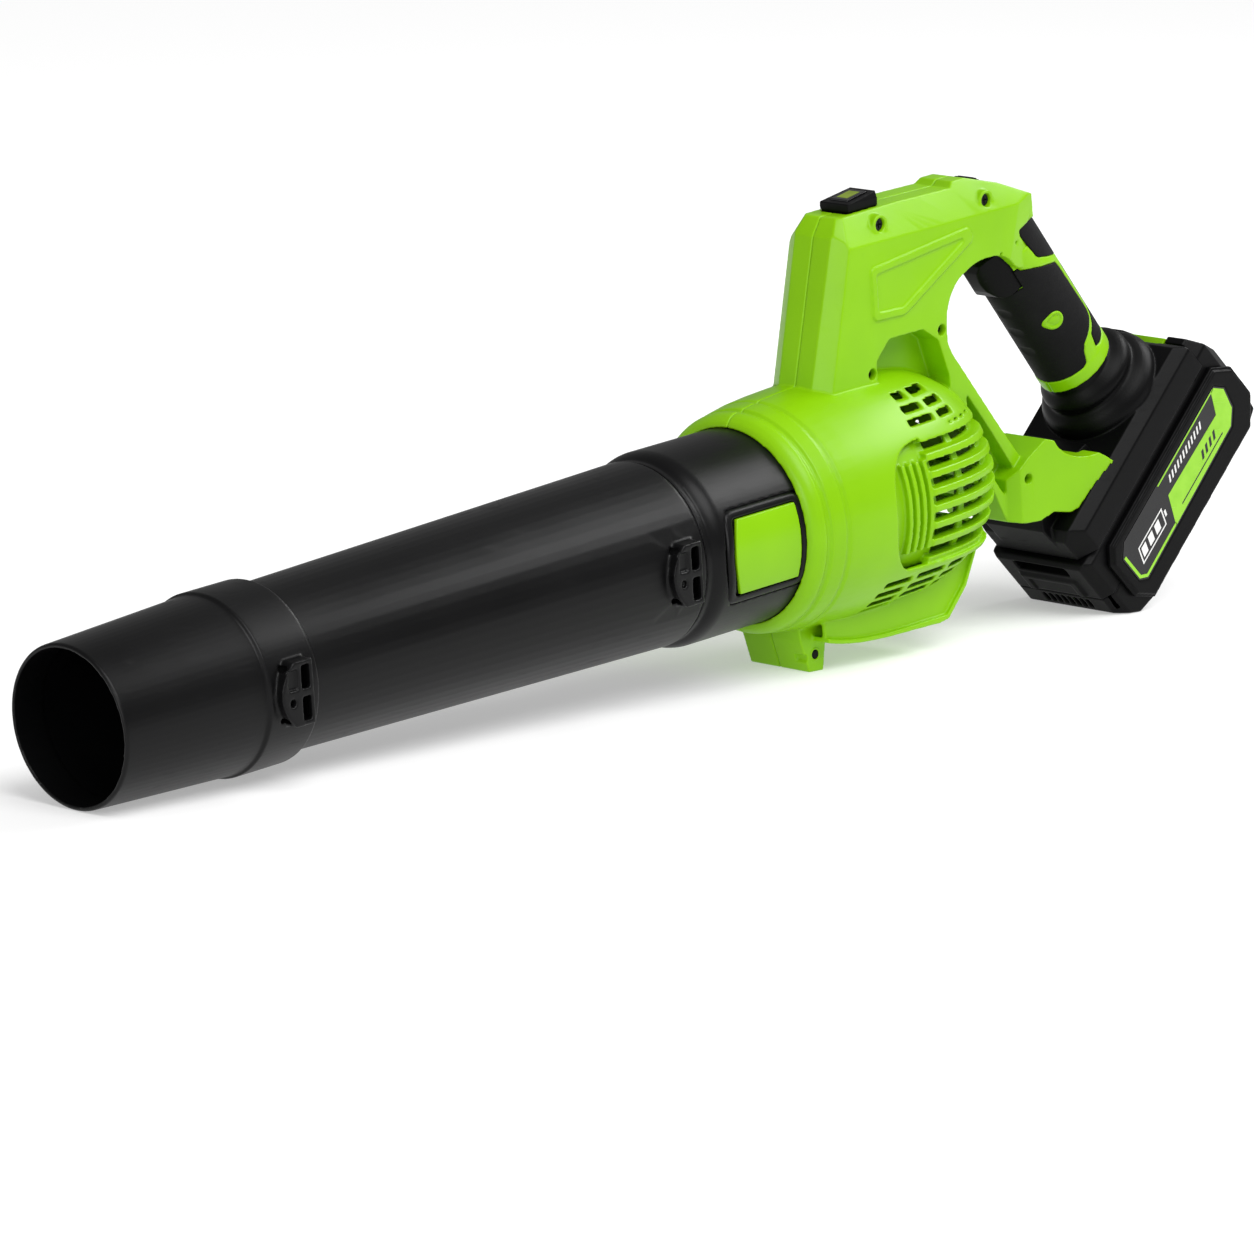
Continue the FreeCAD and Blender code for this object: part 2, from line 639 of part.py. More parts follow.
def dome_floor_cavity():
    """Keeps a wall under the sunken intake panel."""
    inner = grille_dome(RECESS_DEPTH + 2.4)
    region = prism(recess_region(), -90, 90)
    everything = box(430, 640, -90, 90, -90, 90)
    return everything.cut(region).fuse(inner.common(region))


def foot_hole():
    return rod((467.5, -FOOT_HALF - 5, -71.5), (0, 1, 0), 2.6, 12)


def pin_holes():
    """Two blind pin marks on each side, beside the top of the trigger."""
    holes = []
    for s, n, radius in ((-74.8, -5.3, 1.1), (-79.5, -17.4, 0.9)):
        x, z = grip_xz(s, n)
        holes += both_sides(rod((x, -22, z), (0, 1, 0), radius, 4.2))
    return holes


def housing_half(body, side):
    keep = box(400, 760, -90, -0.02, -130, 200) if side < 0 else box(400, 760, 0.02, 90, -130, 200)
    piece = body.common(keep)
    return group([max(piece.Solids, key=lambda solid: solid.Volume)])


# ---------------------------------------------------------------- grip and controls

def rubber_sleeve():
    outer = grip_column(GRIP_DEEP + RUBBER, GRIP_WIDE + RUBBER, -80, RING_S[0] - 0.1)
    return outer.cut(grip_column(GRIP_DEEP + 0.05, GRIP_WIDE + 0.05, -90, 40))


def main_region():
    """Side outline of the front rubber, from the trigger down to the green ring."""
    return [(-60.5, -40), (-60.5, -10.4), (-58.8, -10.3), (-53.4, -3.1), (-42, 11.7), (-37.4, 12.8),
            (-19.5, 13.6),
            (-4, 14.2), (-0.5, 12.2), (2.2, 6.0), (4.8, -1.9), (8.3, -4.3), (14.2, -6.3), (15.4, -9),
            (15.4, -40)]


def patch_region():
    """Side outline of the rubber patch behind the trigger."""
    return [(-66, 40), (-72.6, 15.2), (-77.6, 0.4), (-75.4, -0.4), (-57.8, 1.7), (-55.6, 2.8),
            (-38.3, 21.1),
            (-37.0, 40)]


def strip_region():
    """Side outline of the rubber strip down the back, with its forward-pointing foot."""
    return [(-33.5, 40), (-35.5, 19.5), (-34, 17.4), (-4, 17.4), (0, 14.9), (3, 11.5), (5.8, 5.8),
            (12.6, 4.1),
            (14.0, 7.6), (14.3, 15.6), (14.3, 40)]


def rubber_part(region):
    return rubber_sleeve().common(prism(grip_outline(region), -40, 40))


def rubber_room(region):
    """The rubber's outline with a moulding gap round it."""
    wire = wire_xz(grip_outline(region), -40).makeOffset2D(RUBBER_GAP, 2)
    return Part.Face(wire).extrude(V(0, 80, 0))


def grip_skin():
    """Green shell between the rubber parts, level with them."""
    skin = grip_column(GRIP_DEEP + RUBBER, GRIP_WIDE + RUBBER, -66, RING_S[0] + 0.1)
    skin = skin.cut(grip_column(GRIP_DEEP - 0.5, GRIP_WIDE - 0.5, -90, 40))
    rooms = [rubber_room(region) for region in (main_region(), patch_region(), strip_region())]
    return skin.cut(rooms).Solids


def patch_pocket():
    """The seat of the rear patch, sunk into the neck."""
    return rubber_room(patch_region()).cut(grip_column(GRIP_DEEP, GRIP_WIDE, -95, 40))


def patch_backing():
    """The wall behind the rear patch."""
    wall = grip_column(GRIP_DEEP, GRIP_WIDE, -80, -34).cut(grip_column(GRIP_DEEP - 3.4, GRIP_WIDE - 3.2,
                                                                       -90, 0))
    return wall.common(prism(grip_outline([(-80, 40), (-80, -2), (-56, -1), (-34, 20), (-34, 40)]), -40,
                             40))


def grip_rubber():
    sleeve = rubber_part(main_region())
    for s in (-36, -22, -8):
        x, z = grip_xz(s, -28.6)
        sleeve = sleeve.cut(rod((x, -40, z), (0, 1, 0), 7.7, 80))
    return group([sleeve.cut([trigger_room(), neck_solid()])])


def grip_back_upper():
    return group([rubber_part(patch_region())])


def grip_back_lower():
    return group([rubber_part(strip_region())])


def trigger():
    solid = prism(trigger_outline(), -14.0, 14.0).common(grip_column(27.6, 15.6, -80, -40))
    stem = prism(grip_outline([(-66, -10.2), (-66, -6.5), (-58, -6.5), (-58, -10.2)]), -4, 4)
    return fused([solid, stem])


def trigger_spring():
    x, z = grip_xz(-62, -6.4)
    n = (-GRIP_DIR[1], 0, GRIP_DIR[0])
    return rod((x, 0, z), n, 2.4, 6.0).cut(rod((x, 0, z), n, 1.6, 6.0))


def trigger_switch():
    body = prism(grip_outline([(-72, 0), (-72, 11), (-50, 11), (-50, 0)]), -8.5, 8.5)
    plunger = prism(grip_outline([(-64.5, -0.3), (-64.5, 0.1), (-59.5, 0.1), (-59.5, -0.3)]), -2.5, 2.5)
    return fused([body, plunger])


def speed_dial():
    x, z = DIAL_AT
    wheel = rod((x, -5.0, z), (0, 1, 0), DIAL_R, 10.0)
    grooves = []
    for i in range(30):
        angle = math.radians(12 * i)
        grooves.append(rod((x + DIAL_R * math.cos(angle), -6, z + DIAL_R * math.sin(angle)), (0, 1, 0),
                           0.6, 12))
    return wheel.cut(grooves + [rod((x, -6, z), (0, 1, 0), 2.0, 12)])


def dial_potentiometer():
    x, z = DIAL_AT
    stem = rod((x, -7.0, z), (0, 1, 0), 1.95, 14.0)
    return fused([stem, box(x - 6, x + 6, 6.0, 10.5, z - 9, z + 2.0)])


def module_prism(inset, height0, height1):
    rise = math.tan(math.radians(9))
    x0, x1 = 527.2 + inset, 548.8 - inset
    base = 142.4
    return prism([(x0, base + height0), (x0, base + height1), (x1, base + height1 + rise * (x1 - x0)),
                  (x1, base + height0)], -9.6 + inset, 9.6 - inset)


def control_module():
    """The black box on top of the neck, with a well for its button."""
    body = module_prism(0, 1.0, 4.9)
    foot = box(527.5, 548.5, -8.8, 8.8, 138.2, 144.3)
    well = prism([(530.5, 140.5), (530.5, 152), (545.5, 156), (545.5, 140.5)], -6.4, 6.4)
    body = body.cut(beyond((527.2, -9.6, 147.4), (0, -0.94, 0.34))).cut(beyond((527.2, 9.6, 147.4),
                                                                               (0, 0.94, 0.34)))
    board_room = box(528.9, 547.1, -7.7, 7.7, 138.0, 139.9)
    body = fused([body, foot]).cut([well, board_room])
    return body.cut(beyond((527.2, 0, 147.2), (-0.9, 0, 0.43)))


def mode_button():
    rise = math.tan(math.radians(9))
    x0, x1 = 531.0, 545.0
    z0, z1 = 148.0, 148.0 + rise * (x1 - x0)
    return prism([(x0, z0 - 5.5), (x0, z0 + 0.6), (x1, z1 + 0.6), (x1, z0 - 5.5)], -5.9, 5.9)


def module_board():
    return box(529.2, 546.8, -7.4, 7.4, 138.15, 139.6)


def control_board():
    return box(520, 578, -1.0, 0.8, 88, 128)


def heat_sink():
    base = box(536, 572, 0.9, 3.4, 92, 112)
    blades = [box(538 + 5.0 * i, 540 + 5.0 * i, 3.3, 12.0, 92, 112) for i in range(7)]
    return fused([base] + blades)


def capacitor():
    return rod((529, 7.0, 92), (0, 0, 1), 5.0, 20)


# ---------------------------------------------------------------- dock

def dock_hump(gap):
    """The dock's front block, which the green saddle wraps."""
    outline = [(-3.8 - gap, 50), (-5.0 - gap, 70), (0 - gap, 78 + gap), (28 + gap, 82 + gap),
               (48 + gap, 75),
               (48 + gap, 50)]
    return in_pack(prism(outline, -HUMP_HALF - gap, HUMP_HALF + gap))


def dock_bellows():
    """Ribbed collar between the grip and the battery platform, drawn as stacked ovals."""
    sections = ((98.4, 84.2, 19.6, 17.0), (94.0, 85.0, 20.0, 17.5), (90.0, 85.6, 20.8, 18.4),
                (88.8, 86.0, 22.4, 19.9), (87.6, 86.4, 24.0, 21.4), (86.0, 86.7, 25.6, 23.1),
                (84.4, 87.0, 26.6, 24.2), (82.6, 87.2, 27.0, 24.8), (81.0, 87.4, 26.8, 24.6),
                (79.8, 87.4, 26.3, 24.1), (78.6, 87.4, 26.0, 24.0), (77.9, 87.4, 26.2, 24.3),
                (77.2, 87.4, 26.8, 25.0), (76.0, 87.5, 28.6, 26.8), (74.6, 87.6, 30.4, 28.6),
                (73.0, 87.6, 31.7, 30.0), (71.4, 87.6, 32.6, 31.0), (70.0, 87.6, 33.3, 31.7),
                (68.0, 87.6, 33.6, 32.0), (60.0, 87.6, 33.6, 32.0))
    wires = []
    for w, u, a, b in sections:
        oval = Part.Ellipse(V(u, 0, w), a, b).toShape()
        wires.append(Part.Wire([oval]))
    return in_pack(Part.makeLoft(wires, True, True))


def dock_platform():
    """The tray that the battery slides under, with bevelled edges and cut front corners."""
    outline = [(-3.8, 45.2), (-3.8, 60), (0, 66.5), (118, 66.5), (122.5, 62), (122.5, 45.2)]
    platform = prism(outline, -DOCK_HALF, DOCK_HALF)
    for side in (-1, 1):
        platform = platform.cut(beyond((50, side * DOCK_HALF, 60.5), (0, side * 0.76, 0.65)))
        platform = platform.cut(beyond((-3.8, side * 27.6, 50), (-0.71, side * 0.71, 0)))
    return in_pack(platform)


def battery_dock():
    body = fused([dock_platform(), dock_bellows(), dock_hump(0)])
    x, z = grip_xz(RING_S[1] + 0.05, 0)
    body = body.cut(beyond((x, 0, z), (-GRIP_DIR[0], 0, -GRIP_DIR[1])))
    channel = box(-1.4, 140, -LIP_HALF - 0.8, LIP_HALF + 0.8, 49.4, 57.6)
    throat = box(-1.4, 140, -RAIL_HALF - 0.8, RAIL_HALF + 0.8, 40, 52)
    rear_notch = box(108, 140, -17, 17, 50, 62.5)
    wire_room = rod((86, 0, 57), (0, 0, 1), 13.0, 12)
    wire_room = fused([wire_room, rod((85.4, 0, 68), (0, 0, 1), 13.0, 30)])
    body = body.cut([in_pack(channel), in_pack(throat), in_pack(rear_notch), in_pack(wire_room)])
    return max(body.Solids, key=lambda solid: solid.Volume)


def terminal_block():
    return in_pack(fused([box(-1.3, 8, -15, 15, 51.0, 57.5), box(7, 80, -8, 8, 57.0, 57.6)]))


def terminal_blades():
    return group([in_pack(box(8.05, 22, y - 0.4, y + 0.4, 51.6, 55.4)) for y in (-10, -3.3, 3.3, 10)])


def power_leads():
    """Two insulated leads from the terminals, up the grip, to the switch."""
    leads = []
    low = in_pack(Part.Vertex(86, 0, 58)).Point
    for y in (-4.5, 4.5):
        x1, z1 = grip_xz(-49, 5)
        start = V(low.x, y, low.z)
        end = V(x1, y, z1)
        direction = end.sub(start)
        leads.append(Part.makeCylinder(1.3, direction.Length, start, direction))
    return group(leads)


# ---------------------------------------------------------------- battery

def case_side():
    return [(-8, 4), (2.4, -8.0), (14, -11), (122, -11), (134, -7), (PACK_END, 3), (PACK_END, 16), (-8, 16)]


def battery_case_lower():
    outer = prism(case_side(), -PACK_HALF, PACK_HALF)
    room = prism([(-5.6, 5), (3.6, -5.8), (14.5, -8.6), (121.5, -8.6), (132, -5), (PACK_END - 2.4, 4),
                  (PACK_END - 2.4, 20),
                  (-5.6, 20)], -PACK_HALF + 2.2, PACK_HALF - 2.2)
    rounded_front = outer
    for side in (-1, 1):
        rounded_front = rounded_front.cut(beyond((-8, side * 28.5, 0), (-0.71, side * 0.71, 0)))
        rounded_front = rounded_front.cut(beyond((PACK_END, side * 25.5, 0), (0.71, side * 0.71, 0)))
    vent = [box(-9, -4, -17 + 4.2 * i, -14.6 + 4.2 * i, 6.5, 13.5) for i in range(8)]
    vent.append(rod((PACK_END - 4, -9.0, 10.5), (1, 0, 0), 3.3, 6))
    vent += [rod((u, y, -12), (0, 0, 1), 2.8, 2.8) for u in (20, 116) for y in (-24, 24)]
    return in_pack(rounded_front.cut([room] + vent))


def battery_case_upper():
    outer = prism([(-8, 16.1), (-8, DECK_W - 2), (-6, DECK_W), (122.9, DECK_W), (123.2, 47), (126.2, 57.5),
                   (130, 57.5), (PACK_END, 33), (PACK_END, 16.1)], -PACK_HALF, PACK_HALF)
    for side in (-1, 1):
        outer = outer.cut(beyond((60, side * 30.5, DECK_W), (0, side * 0.66, 0.75)).common(
            box(-60, 116, -80, 80, 0, 90)))
        outer = outer.cut(beyond((-8, side * 28.5, 0), (-0.71, side * 0.71, 0)))
        outer = outer.cut(beyond((PACK_END, side * 25.5, 0), (0.71, side * 0.71, 0)))
        outer = outer.cut(beyond((128, side * 27.0, 57.5), (0, side * 0.80, 0.60)))
    rails = fused([box(2, 116, -RAIL_HALF, RAIL_HALF, DECK_W - 1, 56.6),
                   box(2, 116, -LIP_HALF, LIP_HALF, 51.2, 56.6)])
    body = fused([outer, rails, nose_plate()])
    mouth = box(1, 24, -15.6, 15.6, 50.4, 60)
    slots = [box(1, 46, y - 1.3, y + 1.3, 52.2, 60) for y in (-10, -3.3, 3.3, 10)] + [mouth]
    socket = box(74, 92, -9, 9, 52, 60)
    grooves = [box(36 + 9 * i, 38 + 9 * i, -30, 30, 55.4, 60) for i in range(3)]
    room = prism([(-5.0, 10), (-5.0, 28), (-1.0, 29), (-1.0, DECK_W - 3.4), (108, DECK_W - 3.4),
                  (110.5, 37.5),
                  (116, 37.5), (126, 27.8), (134.5, 21.2), (PACK_END - 2.4, 20), (PACK_END - 2.4, 10)],
                 -PACK_HALF + 3.4, PACK_HALF - 3.4)
    button_room = prism([(118.6, 40), (118.6, 60), (128, 62), (146, 40), (137, 24), (128, 30)], -15.2, 15.2)
    slots += [box(29, 46, y - 1.3, y + 1.3, 40, 60) for y in (-10, -3.3, 3.3, 10)]
    latch_room = box(113.6, 123.4, -15.2, 15.2, 43.2, 62)
    spring_room = rod((121.8, 0, 41.2), (0, 0, 1), 3.3, 6)
    contact_slot = prism([(-9, 33.5), (-9, 41), (-3, 41), (-3, 34.5)], -17.5, 17.5)
    cuts = slots + [socket, room, button_room, latch_room, spring_room, contact_slot] + grooves
    return in_pack(body.cut(cuts))


def nose_plate():
    """Raised plate on the front of the pack, narrower at its foot."""
    plate = prism([(-7.5, 17.5), (-9.3, 17.5), (-9.3, 29.5), (-8.3, 31.5), (-7.5, 31.5)], -19, 19)
    return plate.cut(box(-9.6, -8.5, -14.5, 14.5, 16, 27.5))


def octagon(grow):
    return [(4 - grow, 4 - grow * 0.4), (13 - grow * 0.4, -8.8 - grow), (123 + grow * 0.4, -8.8 - grow),
            (136 + grow, 4 - grow * 0.4), (136 + grow, 27 + grow * 0.4), (126 + grow * 0.4, 39 + grow),
            (11 - grow * 0.4, 39 + grow), (4 - grow, 31 + grow * 0.4)]


def bumper_left():
    plate = prism(octagon(0), -PACK_HALF - BUMPER, -PACK_HALF - 0.05)
    plate = plate.cut(prism(label_outline(0.3), -60, -PACK_HALF - BUMPER + 0.9))
    edge = prism(octagon(0), -60, -PACK_HALF - BUMPER + 1.6).cut(prism(octagon(-1.8), -61, 0))
    return in_pack(plate.cut([edge] + bumper_notches()))


def bumper_notches():
    """Shallow saw-tooth steps along the bumper's lower edge."""
    notches = []
    for i in range(5):
        u = 24 + 18 * i
        notches.append(prism([(u, -12), (u, -7.2), (u + 12, -8.8), (u + 12, -12)], -60, -PACK_HALF - 0.9))
    return notches


def label_outline(grow):
    return [(11 - grow, 9 - grow), (16 - grow, 4 - grow), (113 + grow, 5.5 - grow), (121 + grow, 12 - grow),
            (124 + grow, 25 + grow), (119 + grow, 32.5 + grow), (18 - grow, 33 + grow),
            (11 - grow, 27 + grow)]


def label_left():
    return in_pack(prism(label_outline(0), -PACK_HALF - BUMPER + 0.1, -PACK_HALF - BUMPER + 0.85))


def battery_cells():
    """Ten 18650 cells in two rows."""
    cells = []
    for row in range(2):
        for i in range(5):
            cells.append(in_pack(rod((16.5 + 18.8 * i + 6 * row, -29.5, 1.6 + 18.6 * row), (0, 1, 0), 9.1,
                                     59)))
    return group(cells)


def cell_holder():
    frame = box(9, 110, -27, 27, -6.8, 32.6)
    cuts = [box(8, 111, -22, 22, -9, 33)]
    for row in range(2):
        for i in range(5):
            cuts.append(rod((16.5 + 18.8 * i + 6 * row, -40, 1.6 + 18.6 * row), (0, 1, 0), 9.15, 80))
    return group([in_pack(solid) for solid in frame.cut(cuts).Solids if solid.Volume > 200])


def cell_straps():
    straps = []
    for side in (-1, 1):
        y = side * 29.75
        for i in range(2):
            straps.append(in_pack(box(12 + 40 * i, 40 + 40 * i, y - 0.15, y + 0.15, -2, 3)))
            straps.append(in_pack(box(18 + 40 * i, 46 + 40 * i, y - 0.15, y + 0.15, 17, 22)))
    return group(straps)


def battery_board():
    return in_pack(box(8, 104, -20, 20, 35.2, 36.8))


def battery_terminals():
    return group([in_pack(box(30, 44, y - 0.9, y + 0.9, 36.9, 51.6)) for y in (-10, -3.3, 3.3, 10)])


def battery_screws():
    screws = []
    for u in (20, 116):
        for y in (-24, 24):
            screws.append(in_pack(rod((u, y, -10.9), (0, 0, 1), 2.6, 1.6)))
    return group(screws)


def release_button():
    """Thumb tile on the sloped end and, in the same moulding, the latch bar in front of it."""
    tile = prism([(121.6, 47), (121.6, 56.4), (128.2, 57.9), (136.9, 38.5), (138.6, 32), (131, 33),
                  (125, 47)], -14.6, 14.6)
    dish = prism([(128.5, 60), (131.0, 48.5), (135.0, 39.6), (150, 45), (150, 60)], -11.6, 11.6)
    ribs = [prism([(131.2 + 1.7 * i, 47.2 - 3.8 * i), (133.0 + 1.7 * i, 48.0 - 3.8 * i),
                   (133.6 + 1.7 * i, 46.6 - 3.8 * i), (131.8 + 1.7 * i, 45.8 - 3.8 * i)], -11.7, 11.7)
            for i in range(3)]
    bar = prism([(114.4, 47.5), (114.4, 58.4), (116.0, 59.6), (119.8, 59.6), (121.7, 56.4), (121.7, 47.5)],
                -14.6, 14.6)
    return in_pack(fused([tile.cut(dish)] + [bar] + ribs))


def release_spring():
    foot = (121.8, 0, 41.3)
    return in_pack(rod(foot, (0, 0, 1), 3.0, 5.6).cut(rod(foot, (0, 0, 1), 2.1, 5.6)))


def gauge_panel():
    plate = box(PACK_END + 0.02, PACK_END + 0.9, -14, 14, 5.4, 15.6)
    return in_pack(plate.cut(rod((PACK_END - 1, -9.0, 10.5), (1, 0, 0), 3.4, 4)))


def gauge_button():
    return in_pack(rod((PACK_END - 1.4, -9.0, 10.5), (1, 0, 0), 3.1, 2.8))


def gauge_lights():
    return group([in_pack(box(PACK_END + 0.9, PACK_END + 1.2, y, y + 2.0, 7.0, 14.0)) for y in (-2, 2, 6,
                                                                                                10)])


def housing_screws():
    """Self-tapping screws down the wells of the clamshell, heads on the left."""
    screws = []
    for x, z, r in SCREW_POINTS:
        head = rod((x, -16.7, z), (0, 1, 0), r - 0.5, 2.2)
        screws.append(head.cut([box(x - 2, x + 2, -17, -15.8, z - 0.4, z + 0.4),
                                box(x - 0.4, x + 0.4, -17, -15.8, z - 2, z + 2)]))
    return group(screws)


# ---------------------------------------------------------------- writing the nodes

def stand(shape):
    """Tips the tool onto its three supports and puts the origin at the front foot's sole."""
    shape = shape.copy()
    shape.rotate(V(0, 0, 0), V(0, 1, 0), -PITCH)
    shape.translate(V(-stand_x(), 0, MOUTH_R * math.cos(math.radians(PITCH))))
    return shape


def stand_x():
    middle = sum(FOOT_X) / 2
    drop = math.tan(math.radians(PITCH))
    z = -MOUTH_R - drop * middle
    angle = math.radians(PITCH)
    return middle * math.cos(angle) - z * math.sin(angle)


def main():
    os.makedirs("parts", exist_ok=True)
    body = housing()
    nodes = {
        "nozzle": nozzle(), "blower_tube": blower_tube(), "outlet_duct": outlet_duct(),
        "badge_left": badge_left(), "badge_right": mirrored(badge_left()),
        "housing_left": housing_half(body, -1), "housing_right": housing_half(body, 1),
        "motor_hub": motor_hub(), "tail_cone": tail_cone(), "motor_can": motor_can(),
        "motor_magnets": motor_magnets(), "motor_end_cap": motor_end_cap(),
        "bearing_front": bearing(MOTOR_X[0] + 0.2), "bearing_rear": bearing(MOTOR_X[1] - 2.0),
        "motor_shaft": motor_shaft(), "motor_rotor": motor_rotor(), "impeller": impeller(),
        "impeller_nut": impeller_nut(), "motor_screws": motor_screws(),
        "grip_rubber": grip_rubber(),
        "grip_back_upper": grip_back_upper(), "grip_back_lower": grip_back_lower(),
        "trigger": trigger(), "trigger_spring": trigger_spring(), "trigger_switch": trigger_switch(),
        "speed_dial": speed_dial(), "dial_potentiometer": dial_potentiometer(),
        "control_module": control_module(), "mode_button": mode_button(), "module_board": module_board(),
        "control_board": control_board(), "heat_sink": heat_sink(), "capacitor": capacitor(),
        "battery_dock": battery_dock(),
        "terminal_block": terminal_block(), "terminal_blades": terminal_blades(),
        "power_leads": power_leads(), "housing_screws": housing_screws(),
        "battery_case_lower": battery_case_lower(), "battery_case_upper": battery_case_upper(),
        "bumper_left": bumper_left(), "bumper_right": mirrored(bumper_left()),
        "label_left": label_left(), "label_right": mirrored(label_left()),
        "battery_cells": battery_cells(), "cell_holder": cell_holder(), "cell_straps": cell_straps(),
        "battery_board": battery_board(), "battery_terminals": battery_terminals(),
        "battery_screws": battery_screws(), "release_button": release_button(),
        "release_spring": release_spring(), "gauge_panel": gauge_panel(), "gauge_button": gauge_button(),
        "gauge_lights": gauge_lights(),
    }
    for name, shape in nodes.items():
        placed = stand(shape)
        if not placed.isValid():
            print("not valid:", name)
        placed.exportStep("parts/" + name + ".step")
        box_mm = placed.BoundBox
        print(name, len(placed.Solids), round(placed.Volume / 1000, 2),
              [round(v, 1) for v in (box_mm.XMin, box_mm.XMax, box_mm.YMin, box_mm.YMax, box_mm.ZMin,
                                     box_mm.ZMax)])


main()
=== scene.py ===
import json
import math

import bmesh
import bpy
from mathutils import Matrix, Vector


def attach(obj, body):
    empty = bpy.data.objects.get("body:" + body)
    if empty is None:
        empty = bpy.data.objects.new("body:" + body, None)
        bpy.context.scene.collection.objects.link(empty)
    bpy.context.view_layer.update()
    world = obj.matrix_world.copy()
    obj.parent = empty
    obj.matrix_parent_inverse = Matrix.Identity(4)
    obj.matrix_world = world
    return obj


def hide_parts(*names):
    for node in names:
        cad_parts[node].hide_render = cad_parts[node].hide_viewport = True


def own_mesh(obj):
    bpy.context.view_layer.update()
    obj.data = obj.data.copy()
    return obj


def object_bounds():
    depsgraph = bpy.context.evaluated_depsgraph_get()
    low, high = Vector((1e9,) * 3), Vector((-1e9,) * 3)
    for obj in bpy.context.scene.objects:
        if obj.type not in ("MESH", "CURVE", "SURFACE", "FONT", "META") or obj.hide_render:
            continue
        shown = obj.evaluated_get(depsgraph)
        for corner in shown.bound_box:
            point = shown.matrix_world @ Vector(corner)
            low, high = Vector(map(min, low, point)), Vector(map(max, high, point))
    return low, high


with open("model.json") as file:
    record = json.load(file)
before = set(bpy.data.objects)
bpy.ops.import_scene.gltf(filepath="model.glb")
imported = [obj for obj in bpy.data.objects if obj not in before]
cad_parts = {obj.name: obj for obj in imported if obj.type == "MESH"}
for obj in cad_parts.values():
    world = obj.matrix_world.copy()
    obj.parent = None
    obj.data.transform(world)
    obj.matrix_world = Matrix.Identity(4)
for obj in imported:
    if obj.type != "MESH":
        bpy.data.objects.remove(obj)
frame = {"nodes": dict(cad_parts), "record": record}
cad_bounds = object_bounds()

MM = 0.001
NODES = frame["nodes"]
RECORD = frame["record"]
BODY_OF = {node: body for body, members in RECORD["behaviour"]["bodies"].items() for node in members}
SLOT_OF = {part["node"]: part["material_slot"] for part in RECORD["subparts"]}
MOUNTS = {mount["name"]: mount for mount in RECORD["mounts"]}


# ---------------------------------------------------------------- frames

# The tool's own frame: X along the barrel from the nozzle's rim, Z up from the barrel's axis.
NOZZLE_DEPTH = 9 * MM
ALONG = -Vector(MOUNTS["nozzle_outlet"]["axis"])
ACROSS = Vector((0, 1, 0))
ABOVE = ALONG.cross(ACROSS)
RIM = Vector(MOUNTS["nozzle_outlet"]["pos_m"]) - ALONG * NOZZLE_DEPTH


def frame_matrix(origin, x, y, z):
    """A matrix that takes millimetres in a local frame to metres in the row's frame."""
    columns = [axis * MM for axis in (x, y, z)]
    rows = [[columns[c][r] for c in range(3)] + [origin[r]] for r in range(3)]
    return Matrix(rows + [[0, 0, 0, 1]])


TOOL = frame_matrix(RIM, ALONG, ACROSS, ABOVE)


def tilted(origin_xz, x_dir, z_dir):
    """A local frame in the tool's side view, from its origin in millimetres and its X and Z directions."""
    origin = TOOL @ Vector((origin_xz[0], 0, origin_xz[1]))
    x_axis = ALONG * x_dir[0] + ABOVE * x_dir[1]
    z_axis = ALONG * z_dir[0] + ABOVE * z_dir[1]
    return frame_matrix(origin, x_axis, ACROSS, z_axis)


# The grip's frame: X down the grip, Z from its front to its back.
GRIP_DOWN, GRIP_BACK = (0.5878, -0.8090), (0.8090, 0.5878)
GRIP = tilted((688, 50.5), GRIP_DOWN, GRIP_BACK)
# The battery's frame: X along its slide, Z towards the dock.
PACK_TURN = math.radians(42)
PACK_ALONG = (math.cos(PACK_TURN), math.sin(PACK_TURN))
PACK_UP = (-math.sin(PACK_TURN), math.cos(PACK_TURN))
PACK = tilted((700, -94), PACK_ALONG, PACK_UP)


# ---------------------------------------------------------------- materials

LIME = (0.226, 0.510, 0.0005)
LIME_DEEP = (0.196, 0.455, 0.0004)
LIME_EDGE = (0.290, 0.600, 0.010)
BLACK = (0.0024, 0.0024, 0.0026)
BLACK_EDGE = (0.008, 0.008, 0.009)


